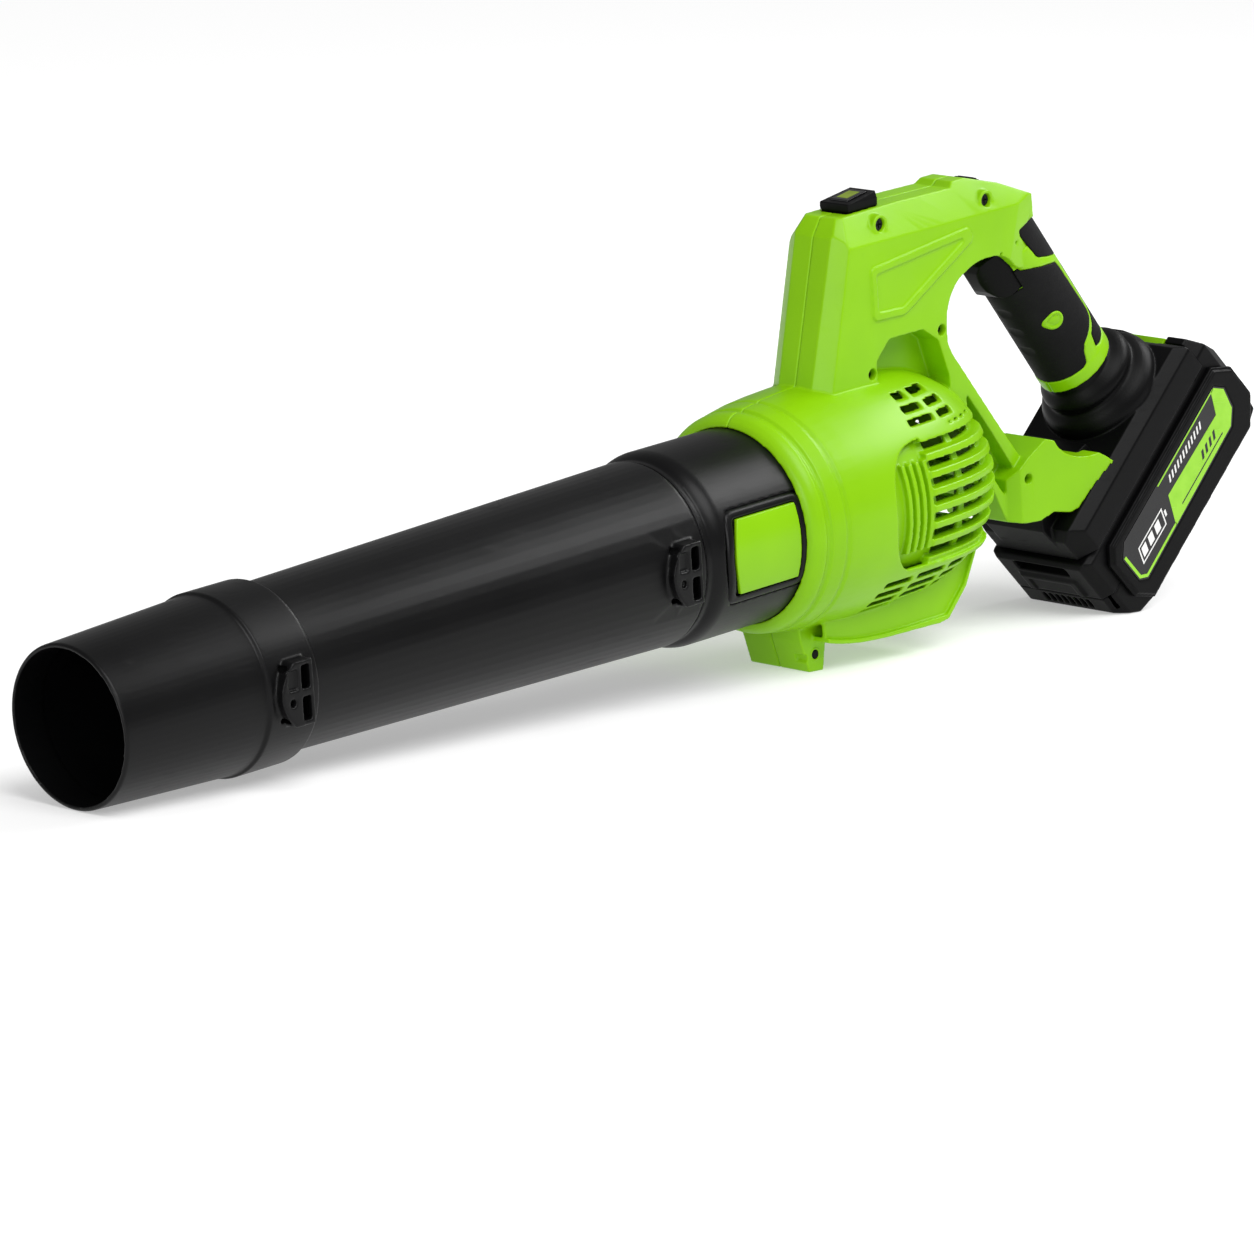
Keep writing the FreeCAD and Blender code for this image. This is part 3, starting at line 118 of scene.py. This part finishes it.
class Nodes:
    """A material under construction: short calls for the nodes and links it needs."""

    def __init__(self, name):
        self.material = bpy.data.materials.new(name)
        self.material.use_nodes = True
        self.tree = self.material.node_tree
        self.tree.nodes.clear()
        self.out = self.add("ShaderNodeOutputMaterial")
        self.shader = self.add("ShaderNodeBsdfPrincipled")
        self.link(self.shader.outputs["BSDF"], self.out.inputs["Surface"])
        self.place = self.add("ShaderNodeTexCoord").outputs["Object"]

    def add(self, kind, **settings):
        node = self.tree.nodes.new(kind)
        for key, value in settings.items():
            setattr(node, key, value)
        return node

    def link(self, source, target):
        self.tree.links.new(source, target)

    def put(self, target, value):
        if isinstance(value, bpy.types.NodeSocket):
            self.link(value, target)
        else:
            target.default_value = value

    def noise(self, scale, detail=2.0, stretch=None, distortion=0.0):
        node = self.add("ShaderNodeTexNoise")
        node.inputs["Scale"].default_value = scale
        node.inputs["Detail"].default_value = detail
        node.inputs["Distortion"].default_value = distortion
        vector = self.place
        if stretch:
            mapping = self.add("ShaderNodeMapping")
            mapping.inputs["Scale"].default_value = stretch
            self.link(self.place, mapping.inputs["Vector"])
            vector = mapping.outputs["Vector"]
        self.link(vector, node.inputs["Vector"])
        return node.outputs["Fac"]

    def cells(self, scale, feature="F1"):
        node = self.add("ShaderNodeTexVoronoi", feature=feature)
        node.inputs["Scale"].default_value = scale
        self.link(self.place, node.inputs["Vector"])
        return node.outputs["Distance"]

    def ramp(self, value, low, high, start=0.0, end=1.0):
        """value from low to high becomes start to end, and is held there outside."""
        node = self.add("ShaderNodeMapRange", clamp=True)
        self.put(node.inputs["Value"], value)
        node.inputs["From Min"].default_value = low
        node.inputs["From Max"].default_value = high
        node.inputs["To Min"].default_value = start
        node.inputs["To Max"].default_value = end
        return node.outputs["Result"]

    def math(self, operation, a, b=0.0):
        node = self.add("ShaderNodeMath", operation=operation)
        self.put(node.inputs[0], a)
        self.put(node.inputs[1], b)
        return node.outputs[0]

    def mix(self, share, a, b):
        node = self.add("ShaderNodeMix", data_type="RGBA")
        self.put(node.inputs["Factor"], share)
        self.put(node.inputs["A"], a if isinstance(a, bpy.types.NodeSocket) else (*a, 1))
        self.put(node.inputs["B"], b if isinstance(b, bpy.types.NodeSocket) else (*b, 1))
        return node.outputs["Result"]

    def edges(self, low=0.515, high=0.60):
        """1 on a raised edge and 0 elsewhere."""
        return self.ramp(self.add("ShaderNodeNewGeometry").outputs["Pointiness"], low, high)

    def bump(self, height, depth_mm, below=None):
        node = self.add("ShaderNodeBump")
        node.inputs["Strength"].default_value = 1.0
        node.inputs["Distance"].default_value = depth_mm * MM
        self.link(height, node.inputs["Height"])
        if below:
            self.link(below, node.inputs["Normal"])
        return node.outputs["Normal"]

    def finish(self, colour, roughness, normal=None, **constants):
        self.link(colour, self.shader.inputs["Base Color"])
        self.put(self.shader.inputs["Roughness"], roughness)
        if normal:
            self.link(normal, self.shader.inputs["Normal"])
        for socket, value in constants.items():
            self.shader.inputs[socket.replace("_", " ")].default_value = value
        return self.material


def moulded_plastic(name, colour, shade, edge, roughness, grain_mm, grain_depth, ripple, specular):
    """Injection-moulded plastic: a fine grain, faint sink marks, uneven gloss and edges rubbed bright."""
    n = Nodes(name)
    patches = n.noise(14, 3.0)
    tone = n.mix(n.ramp(patches, 0.35, 0.65), shade, colour)
    speck = n.noise(420, 4.0)
    tone = n.mix(n.ramp(speck, 0.62, 0.80, 0.0, 0.35), tone, shade)
    scuffs = n.ramp(n.noise(55, 6.0, (1.0, 1.0, 9.0), 1.2), 0.60, 0.72)
    worn = n.math("MULTIPLY", n.edges(), n.ramp(n.noise(130, 3.0), 0.30, 0.62, 0.25, 1.0))
    tone = n.mix(n.math("MULTIPLY", worn, 0.55), tone, edge)
    gloss = n.ramp(patches, 0.3, 0.7, roughness - 0.03, roughness + 0.04)
    gloss = n.math("ADD", gloss, n.math("MULTIPLY", scuffs, 0.07))
    gloss = n.math("SUBTRACT", gloss, n.math("MULTIPLY", worn, 0.06))
    sink = n.bump(n.noise(45, 1.0), ripple)
    grain = n.bump(n.cells(1.0 / (grain_mm * MM)), grain_depth, sink)
    return n.finish(tone, gloss, grain, Specular_IOR_Level=specular, IOR=1.5)


def soft_rubber(name, colour, edge):
    """Overmoulded rubber: dull, pebbled, a little paler where it has been handled."""
    n = Nodes(name)
    handled = n.ramp(n.noise(30, 4.0), 0.42, 0.66)
    tone = n.mix(n.math("MULTIPLY", handled, 0.5), colour, edge)
    tone = n.mix(n.math("MULTIPLY", n.edges(0.52, 0.64), 0.6), tone, edge)
    pebble = n.bump(n.cells(1300), 0.05, n.bump(n.noise(60, 2.0), 0.08))
    gloss = n.ramp(n.noise(90, 3.0), 0.3, 0.7, 0.58, 0.72)
    return n.finish(tone, gloss, pebble, Specular_IOR_Level=0.12, Sheen_Weight=0.01, Sheen_Roughness=0.5)


def bare_metal(name, colour, dull, roughness, stretch):
    """Turned or rolled metal: fine lines one way, faint stains, brighter edges."""
    n = Nodes(name)
    lines = n.noise(900, 2.0, stretch)
    stain = n.ramp(n.noise(35, 5.0), 0.45, 0.75)
    tone = n.mix(stain, colour, dull)
    tone = n.mix(n.edges(), tone, colour)
    gloss = n.ramp(lines, 0.3, 0.7, roughness - 0.06, roughness + 0.08)
    gloss = n.math("ADD", gloss, n.math("MULTIPLY", stain, 0.12))
    return n.finish(tone, gloss, n.bump(lines, 0.015), Metallic=1.0, Specular_IOR_Level=0.5)


def circuit_board(name):
    """Green solder mask over faint copper tracks."""
    n = Nodes(name)
    tracks = n.ramp(n.cells(260, "DISTANCE_TO_EDGE"), 0.03, 0.07)
    tone = n.mix(tracks, (0.05, 0.20, 0.06), (0.012, 0.085, 0.028))
    tone = n.mix(n.ramp(n.noise(700, 2.0), 0.66, 0.74), tone, (0.55, 0.53, 0.45))
    return n.finish(tone, 0.38, n.bump(tracks, 0.03), Specular_IOR_Level=0.5)


def light_window(name, colour, glow):
    """A small moulded light pipe that glows faintly, its tone varying at random."""
    n = Nodes(name)
    tone = n.mix(n.ramp(n.noise(500, 2.0), 0.3, 0.7), tuple(0.85 * c for c in colour), colour)
    n.link(tone, n.shader.inputs["Emission Color"])
    return n.finish(tone, n.ramp(n.noise(800, 2.0), 0.3, 0.7, 0.2, 0.3), None, Emission_Strength=glow)


# Plastics and inks: colour, its deeper shade, its rubbed edge, roughness, grain size and depth and the depth
# of the sink marks in millimetres, and specular level.
PLASTICS = {
    "green_moulded": (LIME, LIME_DEEP, LIME_EDGE, 0.34, 0.55, 0.010, 0.04, 0.22),
    "green_smooth": (LIME, LIME_DEEP, LIME_EDGE, 0.30, 0.45, 0.006, 0.03, 0.22),
    "black_satin": (BLACK, (0.0018, 0.0018, 0.0020), BLACK_EDGE, 0.34, 0.60, 0.010, 0.03, 0.17),
    "black_textured": ((0.0020, 0.0020, 0.0022), (0.0016, 0.0016, 0.0018), BLACK_EDGE,
                       0.40, 0.70, 0.024, 0.04, 0.09),
    "black_nylon": ((0.007, 0.007, 0.0075), (0.005, 0.005, 0.0055), BLACK_EDGE, 0.48, 0.80, 0.03, 0.05, 0.3),
    "black_film": ((0.0050, 0.0050, 0.0056), (0.004, 0.004, 0.0045), BLACK_EDGE,
                   0.24, 0.90, 0.004, 0.03, 0.35),
    "smoked_panel": ((0.006, 0.006, 0.007), (0.004, 0.004, 0.005), BLACK_EDGE, 0.14, 0.90, 0.002, 0.02, 0.5),
    "olive_pad": ((0.150, 0.215, 0.0110), (0.120, 0.180, 0.008), (0.22, 0.30, 0.03),
                  0.50, 0.5, 0.02, 0.03, 0.35),
    "green_ink": ((0.240, 0.560, 0.012), (0.215, 0.510, 0.008), (0.30, 0.62, 0.03),
                  0.30, 0.9, 0.004, 0.02, 0.4),
    "white_ink": ((0.72, 0.72, 0.70), (0.64, 0.64, 0.62), (0.8, 0.8, 0.8), 0.34, 0.9, 0.004, 0.02, 0.4),
    "red_button": ((0.50, 0.018, 0.012), (0.42, 0.012, 0.009), (0.62, 0.06, 0.04),
                   0.30, 0.5, 0.01, 0.03, 0.45),
}
PLASTIC = {name: moulded_plastic(name, *look) for name, look in PLASTICS.items()}

# The record's material slots.
MATERIALS = {
    "green_shell": PLASTIC["green_moulded"],
    "green_trim": PLASTIC["green_smooth"],
    "black_tube": PLASTIC["black_satin"],
    "black_case": PLASTIC["black_textured"],
    "grip_rubber": soft_rubber("black_overmould", (0.0028, 0.0028, 0.0031), (0.0050, 0.0050, 0.0054)),
    "fan_plastic": PLASTIC["black_nylon"],
    "steel": bare_metal("plain_steel", (0.56, 0.57, 0.58), (0.34, 0.34, 0.35), 0.32, (1.0, 14.0, 1.0)),
    "aluminium": bare_metal("bare_aluminium", (0.80, 0.81, 0.83), (0.60, 0.61, 0.63), 0.30, (12.0, 1.0, 1.0)),
    "brass": bare_metal("plated_brass", (0.80, 0.62, 0.30), (0.55, 0.40, 0.18), 0.25, (1.0, 1.0, 12.0)),
    "board": circuit_board("solder_mask"),
    "lead_rubber": soft_rubber("red_lead", (0.42, 0.018, 0.012), (0.55, 0.05, 0.03)),
    "label": PLASTIC["black_film"],
    "gauge_black": PLASTIC["smoked_panel"],
    "gauge_white": light_window("light_pipe", (0.78, 0.82, 0.86), 0.25),
}
# Nodes that look different from the rest of their slot.
NODE_MATERIALS = {
    "housing_screws": bare_metal("black_oxide", (0.030, 0.030, 0.032), (0.015, 0.015, 0.016), 0.40,
                                 (1.0, 14.0, 1.0)),
    "mode_button": PLASTIC["smoked_panel"],
    "gauge_button": PLASTIC["red_button"],
}


# ---------------------------------------------------------------- mesh helpers

def add_piece(name, mesh, body, slot, material=None, matrix=None):
    """Links a finished mesh as a piece that rides on a body."""
    piece = bpy.data.objects.new(name, mesh)
    bpy.context.scene.collection.objects.link(piece)
    if matrix is not None:
        mesh.transform(matrix)
    mesh.materials.clear()
    mesh.materials.append(material or MATERIALS[slot])
    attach(piece, body)
    return piece


def band(build, rings):
    """Joins each ring of points to the next with quads."""
    for outer, inner in zip(rings, rings[1:]):
        for i in range(len(outer)):
            k = (i + 1) % len(outer)
            build.faces.new((outer[i], outer[k], inner[k], inner[i]))


def cap(build, first, last):
    """Closes both ends of a row of rings."""
    build.faces.new(last)
    build.faces.new(list(reversed(first)))


def finished_mesh(build, name, smooth=True):
    """The mesh of what has been built, with its faces turned outwards."""
    bmesh.ops.recalc_face_normals(build, faces=build.faces)
    mesh = bpy.data.meshes.new(name)
    build.to_mesh(mesh)
    build.free()
    if smooth:
        mesh.shade_smooth()
    return mesh


def softened(node, voxel_mm, rounds, faces):
    """A node's shape with the small radius that a mould leaves on every edge, as a new piece in its place."""
    source = NODES[node]
    work = bpy.data.objects.new(node + "_work", source.data.copy())
    bpy.context.scene.collection.objects.link(work)
    weld = work.modifiers.new("weld", "WELD")
    weld.merge_threshold = 1e-6
    remesh = work.modifiers.new("remesh", "REMESH")
    remesh.mode = "VOXEL"
    remesh.voxel_size = voxel_mm * MM
    smooth = work.modifiers.new("smooth", "SMOOTH")
    smooth.factor = 0.5
    smooth.iterations = rounds
    graph = bpy.context.evaluated_depsgraph_get()
    mesh = bpy.data.meshes.new_from_object(work.evaluated_get(graph))
    bpy.data.objects.remove(work)
    mesh.name = node + "_moulded"
    mesh.shade_smooth()
    piece = add_piece(node + "_moulded", mesh, BODY_OF[node], SLOT_OF[node], NODE_MATERIALS.get(node))
    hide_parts(node)
    triangles = len(mesh.polygons) * 2
    if faces and triangles > faces:
        thin = piece.modifiers.new("thin", "DECIMATE")
        thin.ratio = faces / triangles


# ---------------------------------------------------------------- the moulded shells

# The size of the remesh in millimetres, the rounds of smoothing, and the most triangles to keep.
SHELLS = {
    "nozzle": (0.6, 3, 110000),
    "blower_tube": (0.7, 3, 140000),
    "outlet_duct": (0.6, 3, 110000),
    "housing_left": (0.6, 3, 180000),
    "housing_right": (0.6, 3, 180000),
    "battery_dock": (0.6, 3, 120000),
    "battery_case_upper": (0.6, 3, 120000),
    "battery_case_lower": (0.6, 3, 120000),
    "bumper_left": (0.5, 3, 60000),
    "bumper_right": (0.5, 3, 60000),
    "trigger": (0.4, 4, None),
    "grip_rubber": (0.4, 3, 120000),
    "grip_back_upper": (0.4, 3, None),
    "grip_back_lower": (0.4, 3, None),
    "control_module": (0.3, 3, None),
    "mode_button": (0.3, 3, None),
    "release_button": (0.3, 3, None),
    "speed_dial": (0.3, 2, None),
    "badge_left": (0.4, 3, None),
    "badge_right": (0.4, 3, None),
    "impeller": (0.6, 2, None),
    "gauge_panel": (0.4, 2, None),
    "gauge_button": (0.3, 2, None),
}

for shell, (voxel, rounds, faces) in SHELLS.items():
    softened(shell, voxel, rounds, faces)

for node, thing in NODES.items():
    if node not in SHELLS:
        thing.data.materials.clear()
        thing.data.materials.append(NODE_MATERIALS.get(node) or MATERIALS[SLOT_OF[node]])


# ---------------------------------------------------------------- printed and inlaid details

SIDES = ((-1, "_left"), (1, "_right"))

# The printed label, in the battery's frame: outlines along the slide (X) and up to the dock (Z).
LABEL_Y = 37.70
INK_DEPTH, MARK_DEPTH = 0.07, 0.09
FIELD = [(56.6, 21.6), (49.0, 5.3), (112.6, 6.4), (120.0, 12.6), (123.0, 25.0), (118.4, 31.9),
         (115.6, 31.9), (109.6, 20.2)]
BORDER = [(11.9, 26.6), (11.9, 9.4), (16.4, 4.9), (49.6, 5.4), (50.3, 6.9), (17.2, 6.5), (13.7, 10.0),
          (13.7, 26.6)]
TOP_LINE = [(55, 31.3), (118.0, 31.4), (117.4, 32.2), (54.6, 32.2)]


def slanted(x, z, length, height, lean=0.35):
    """A bar along the slide with ends that lean forwards."""
    shift = lean * height
    return [(x, z), (x + length, z), (x + length + shift, z + height), (x + shift, z + height)]


# A plain charge symbol, fine rules and rows of slanted ticks: nothing that can be read.
SYMBOL = [slanted(19, 12.2, 26, 0.7), slanted(22.2, 20.8, 26, 0.7), slanted(19.3, 12.9, 0.9, 7.9),
          slanted(44.4, 12.9, 0.9, 7.9), slanted(47.2, 15.4, 1.6, 3.2)]
SYMBOL_BARS = [slanted(22.0 + 7.2 * i, 14.3, 4.6, 5.2) for i in range(3)]
WHITE_TICKS = [slanted(62 + 3.1 * i, 25.0, 1.3, 3.6, 0.6) for i in range(12)]
BLACK_TICKS = [slanted(86 + 4.2 * i, 12.0, 2.2, 4.4, 0.6) for i in range(4)]
BLACK_RULE = slanted(60, 9.0, 46, 0.8)
PRINTS = (
    ("green", [FIELD, BORDER, TOP_LINE], INK_DEPTH, "green_ink"),
    ("white", SYMBOL + SYMBOL_BARS + WHITE_TICKS, MARK_DEPTH, "white_ink"),
    ("black", [BLACK_RULE] + BLACK_TICKS, MARK_DEPTH, "black_film"),
)


def label_print(side, tag):
    """The label's three inks, as thin plates on its face."""
    for name, outlines, depth, ink in PRINTS:
        build = bmesh.new()
        for outline in outlines:
            inside = [build.verts.new((x, side * LABEL_Y, z)) for x, z in outline]
            outside = [build.verts.new((x, side * (LABEL_Y + depth), z)) for x, z in outline]
            band(build, (inside, outside))
            cap(build, inside, outside)
        mesh = finished_mesh(build, "label_" + name + tag, smooth=False)
        add_piece("label_print_" + name + tag, mesh, "battery", "label", PLASTIC[ink], PACK)


# The inlay's place on the grip (X, Z), its radius and its outline's point, and the grip's section there.
INLAY_AT = (-20.4, -8.8)
INLAY_RADIUS, INLAY_POINT, POINT_TOWARDS = 4.9, 1.5, math.radians(246)
SLEEVE_DEEP, SLEEVE_WIDE = 21.7, 18.7
# From its buried skirt to its middle: share of the radius, and height over the rubber.
INLAY_PROFILE = ((1.04, -0.55), (1.0, 0.20), (0.95, 0.55), (0.84, 0.72), (0.74, 0.66), (0.66, 0.20),
                 (0.58, 0.05), (0.52, 0.05), (0.44, 0.30), (0.20, 0.36))
INLAY_STEPS = 72


def grip_inlay(side, tag):
    """The green inlay on the grip: a drop with a raised rim and a dished middle, on the rubber's curve."""
    build = bmesh.new()
    rings = []
    for share, height in INLAY_PROFILE:
        ring = []
        for i in range(INLAY_STEPS):
            angle = 2 * math.pi * i / INLAY_STEPS
            point = INLAY_POINT * max(0.0, math.cos(angle - POINT_TOWARDS)) ** 8
            radius = (INLAY_RADIUS + point) * share
            x = INLAY_AT[0] + radius * math.cos(angle)
            z = INLAY_AT[1] + radius * math.sin(angle)
            rubber = SLEEVE_WIDE * math.sqrt(1 - (z / SLEEVE_DEEP) ** 2)
            ring.append(build.verts.new((x, side * (rubber + height), z)))
        rings.append(ring)
    band(build, rings)
    cap(build, rings[0], rings[-1])
    mesh = finished_mesh(build, "grip_inlay" + tag)
    add_piece("grip_inlay" + tag, mesh, "housing", "green_trim", None, GRIP)


# The lip round a badge: a D lying on its side, flat towards the housing, on the duct's outside.
DUCT_RADIUS = 49.5
BADGE_X, BADGE_HALF, BADGE_BULGE, BADGE_CORNER = (387.6, 442.4), 22.6, 3.4, 4.5
LIP_WIDTH = 2.9
# From the outside in: inset from the outline, and height over the duct.
LIP_PROFILE = ((-0.9, -0.6), (-0.5, 0.35), (0.0, 0.78), (0.5, 0.86), (LIP_WIDTH - 0.7, 0.86),
               (LIP_WIDTH - 0.2, 0.70), (LIP_WIDTH + 0.2, 0.1), (LIP_WIDTH + 0.3, -0.6))
LIP_STEPS, CORNER_STEPS = 120, 8


def between(a, b, share):
    """The point a share of the way from a to b."""
    return (a[0] + (b[0] - a[0]) * share, a[1] + (b[1] - a[1]) * share)


def spread(outline, count):
    """Points at even steps along a closed outline."""
    lengths = [math.dist(a, b) for a, b in zip(outline, outline[1:] + outline[:1])]
    points, i, gone = [], 0, 0.0
    for step in range(count):
        target = sum(lengths) * step / count
        while gone + lengths[i] < target:
            gone += lengths[i]
            i += 1
        points.append(between(outline[i], outline[(i + 1) % len(outline)], (target - gone) / lengths[i]))
    return points


def badge_outline(inset):
    """The badge's D with rounded corners, drawn in by inset."""
    x_low, x_high, half = BADGE_X[0] + inset, BADGE_X[1] - inset, BADGE_HALF - inset
    rounding = BADGE_CORNER - 0.6 * inset
    bend = x_low + BADGE_BULGE
    corners = [(x_high, -half), (x_high, half), (bend, half), (x_low, 0), (bend, -half)]
    outline = []
    for i, corner in enumerate(corners):
        ends = []
        for other in (corners[i - 1], corners[(i + 1) % len(corners)]):
            side_length = math.dist(corner, other)
            ends.append(between(corner, other, min(rounding, 0.45 * side_length) / side_length))
        for step in range(CORNER_STEPS + 1):
            t = step / CORNER_STEPS
            outline.append(between(between(ends[0], corner, t), between(corner, ends[1], t), t))
    return spread(outline, LIP_STEPS)


def badge_frame(side, tag):
    """The raised lip of the duct round a badge, following the duct's curve."""
    build = bmesh.new()
    rings = []
    for inset, height in LIP_PROFILE:
        radius = DUCT_RADIUS + height
        rings.append([build.verts.new((x, side * math.sqrt(radius ** 2 - z ** 2), z))
                      for x, z in badge_outline(inset)])
    band(build, rings)
    mesh = finished_mesh(build, "badge_frame" + tag)
    add_piece("badge_frame" + tag, mesh, "housing", "black_tube", None, TOOL)


# The eyelet in the side of the front foot: its middle (X, Z) and the foot's side, then radius and height
# over that side, from the outside in, of its rim and of a flat black disc of painted shade inside the rim.
EYELET_AT = (475.4, -70.4)
FOOT_SIDE = 20.0
RIM_PROFILE = ((3.5, -0.2), (3.4, 0.20), (3.1, 0.34), (2.7, 0.30), (2.45, 0.05), (2.4, -0.2))
# A flat black disc just over the foot's side: painted shade standing in for the dark of an opening.
SHADE_DISC_PROFILE = ((2.45, -0.2), (2.40, 0.04), (1.2, 0.03), (0.3, 0.03))
EYELET_STEPS = 40


def foot_eyelet(side, tag):
    """The rim of the eyelet in the side of the front foot, and a flat black disc of painted shade inside it.
    """
    # The second piece, in black_case, is that disc of painted shade, closed with one face.
    for name, profile, slot in (("rim", RIM_PROFILE, "green_shell"), ("hole", SHADE_DISC_PROFILE, "black_case")):
        build = bmesh.new()
        rings = []
        for radius, height in profile:
            turns = [math.radians(360 / EYELET_STEPS * i) for i in range(EYELET_STEPS)]
            rings.append([build.verts.new((EYELET_AT[0] + radius * math.cos(turn),
                                           side * (FOOT_SIDE + height),
                                           EYELET_AT[1] + radius * math.sin(turn))) for turn in turns])
        band(build, rings)
        if name == "hole":
            build.faces.new(rings[-1])
        mesh = finished_mesh(build, "foot_" + name + tag)
        add_piece("foot_" + name + tag, mesh, "housing", "green_shell", MATERIALS[slot], TOOL)


for make in (label_print, grip_inlay, badge_frame, foot_eyelet):
    for side, tag in SIDES:
        make(side, tag)


# The mode button's top slopes up towards the back from this X and Z; the strip stands a little over it.
BUTTON_TOP, BUTTON_SLOPE = (531.0, 148.0), math.tan(math.radians(9))
STRIP_X, STRIP_Y = (533.4, 542.8), (-3.6, 3.6)
STRIP_HEIGHTS = (0.52, 0.66)


def mode_print():
    """The printed strip on the mode button."""
    build = bmesh.new()
    rings = []
    for height in STRIP_HEIGHTS:
        corners = [(STRIP_X[i], STRIP_Y[k]) for i, k in ((0, 0), (1, 0), (1, 1), (0, 1))]
        rings.append([build.verts.new((x, y, BUTTON_TOP[1] + BUTTON_SLOPE * (x - BUTTON_TOP[0]) + height))
                      for x, y in corners])
    cap(build, rings[0], rings[-1])
    band(build, rings)
    mesh = finished_mesh(build, "mode_print", smooth=False)
    add_piece("mode_print", mesh, "mode_button", "label", PLASTIC["olive_pad"], TOOL)


mode_print()

COIL_TURNS = 5
WIRE_SIDES, STEPS_PER_TURN = 10, 22


def coil(node, matrix, start, length, radius, wire):
    """A round-wire compression spring along the matrix's Z, in place of the sleeve that stands for it."""
    build = bmesh.new()
    axis = Vector((0, 0, 1))
    across = axis.orthogonal().normalized()
    beside = axis.cross(across)
    steps = STEPS_PER_TURN * COIL_TURNS
    rings = []
    for i in range(steps + 1):
        turn = 2 * math.pi * COIL_TURNS * i / steps
        outward = across * math.cos(turn) + beside * math.sin(turn)
        climb = wire + (length - 2 * wire) * i / steps
        centre = Vector(start) + outward * (radius - wire) + axis * climb
        ring = []
        for k in range(WIRE_SIDES):
            around = 2 * math.pi * k / WIRE_SIDES
            offset = outward * wire * math.cos(around) + axis * wire * math.sin(around)
            ring.append(build.verts.new(centre + offset))
        rings.append(ring)
    band(build, rings)
    cap(build, rings[0], rings[-1])
    mesh = finished_mesh(build, node + "_coil")
    piece = add_piece(node + "_coil", mesh, BODY_OF[node], "steel", None, matrix)
    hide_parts(node)
    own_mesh(piece)


# Each spring's start, length, outside radius and wire radius.
coil("release_spring", PACK, (121.8, 0, 41.3), 5.6, 2.95, 0.35)
coil("trigger_spring", GRIP, (-62, 0, -6.4), 6.0, 2.35, 0.30)


# ---------------------------------------------------------------- floor, light and camera

FLOOR_HALF = 60.0
FLOOR_TONES = ((0.615, 0.615, 0.615), (0.625, 0.625, 0.625))
FLOOR_GLOW = 0.375
WORLD_LIGHT = 0.29
SUN_LIGHT = 2.4
SUN_ANGLE = math.radians(42)
SUN_FROM = (-0.15, -0.75, 1.0)
# Name, direction from the tool, distance, size and power.
SOFTBOXES = (
    ("side_panel", (-0.89, -0.38, 0.22), 2.6, (1.1, 0.8), 20),
    ("far_strip", (0.75, -0.19, 0.63), 2.2, (1.7, 0.5), 28),
)
CAMERA_AT = (-2.86718, -2.68002, 0.778821)
CAMERA_RIGHT = (0.697614, -0.716474, -0.000146)
CAMERA_UP = (0.136193, 0.132408, 0.981794)
CAMERA_BACK = (-0.703410, -0.684933, 0.189949)
CAMERA_LENS = 229.67


def place(name, data):
    """A new light or camera in the scene, set to turn by quaternion."""
    holder = bpy.data.objects.new(name, data)
    holder.rotation_mode = "QUATERNION"
    bpy.context.scene.collection.objects.link(holder)
    return holder


def aimed(name, data, at, towards):
    """A new light that shines from one point towards another."""
    holder = place(name, data)
    holder.location = at
    holder.rotation_quaternion = (towards - at).to_track_quat("-Z", "Y")


def studio():
    """The pale floor, an even sky, one broad sun and two soft boxes."""
    corners = [(x * FLOOR_HALF, y * FLOOR_HALF, 0) for x, y in ((-1, -1), (1, -1), (1, 1), (-1, 1))]
    floor_mesh = bpy.data.meshes.new("floor")
    floor_mesh.from_pydata(corners, [], [(0, 1, 2, 3)])
    n = Nodes("pale_floor")
    paper = n.mix(n.ramp(n.noise(0.6, 2.0), 0.3, 0.7), *FLOOR_TONES)
    n.shader.inputs["Emission Color"].default_value = (1, 1, 1, 1)
    material = n.finish(paper, 0.9, None, Specular_IOR_Level=0.0, Emission_Strength=FLOOR_GLOW)
    floor_mesh.materials.append(material)
    floor = bpy.data.objects.new("floor", floor_mesh)
    bpy.context.scene.collection.objects.link(floor)
    world = bpy.data.worlds.new("studio")
    bpy.context.scene.world = world
    world.use_nodes = True
    background = world.node_tree.nodes["Background"]
    background.inputs["Color"].default_value = (1.0, 1.0, 1.0, 1)
    background.inputs["Strength"].default_value = WORLD_LIGHT
    middle = (cad_bounds[0] + cad_bounds[1]) / 2
    sun = bpy.data.lights.new("sky_panel", "SUN")
    sun.energy = SUN_LIGHT
    sun.angle = SUN_ANGLE
    aimed("sky_panel", sun, middle + Vector(SUN_FROM), middle)
    for name, direction, distance, size, power in SOFTBOXES:
        lamp = bpy.data.lights.new(name, "AREA")
        lamp.shape = "RECTANGLE"
        lamp.size, lamp.size_y = size
        lamp.energy = power
        aimed(name, lamp, middle + Vector(direction).normalized() * distance, middle)


def camera():
    """The photograph's view, from the camera's place and its three directions."""
    lens = bpy.data.cameras.new("camera")
    lens.sensor_width = 36
    lens.lens = CAMERA_LENS
    lens.clip_end = 100
    holder = place("camera", lens)
    holder.location = CAMERA_AT
    turn = Matrix((CAMERA_RIGHT, CAMERA_UP, CAMERA_BACK)).transposed()
    holder.rotation_quaternion = turn.to_quaternion()
    bpy.context.scene.camera = holder


studio()
camera()
bpy.context.scene.view_settings.view_transform = "Standard"
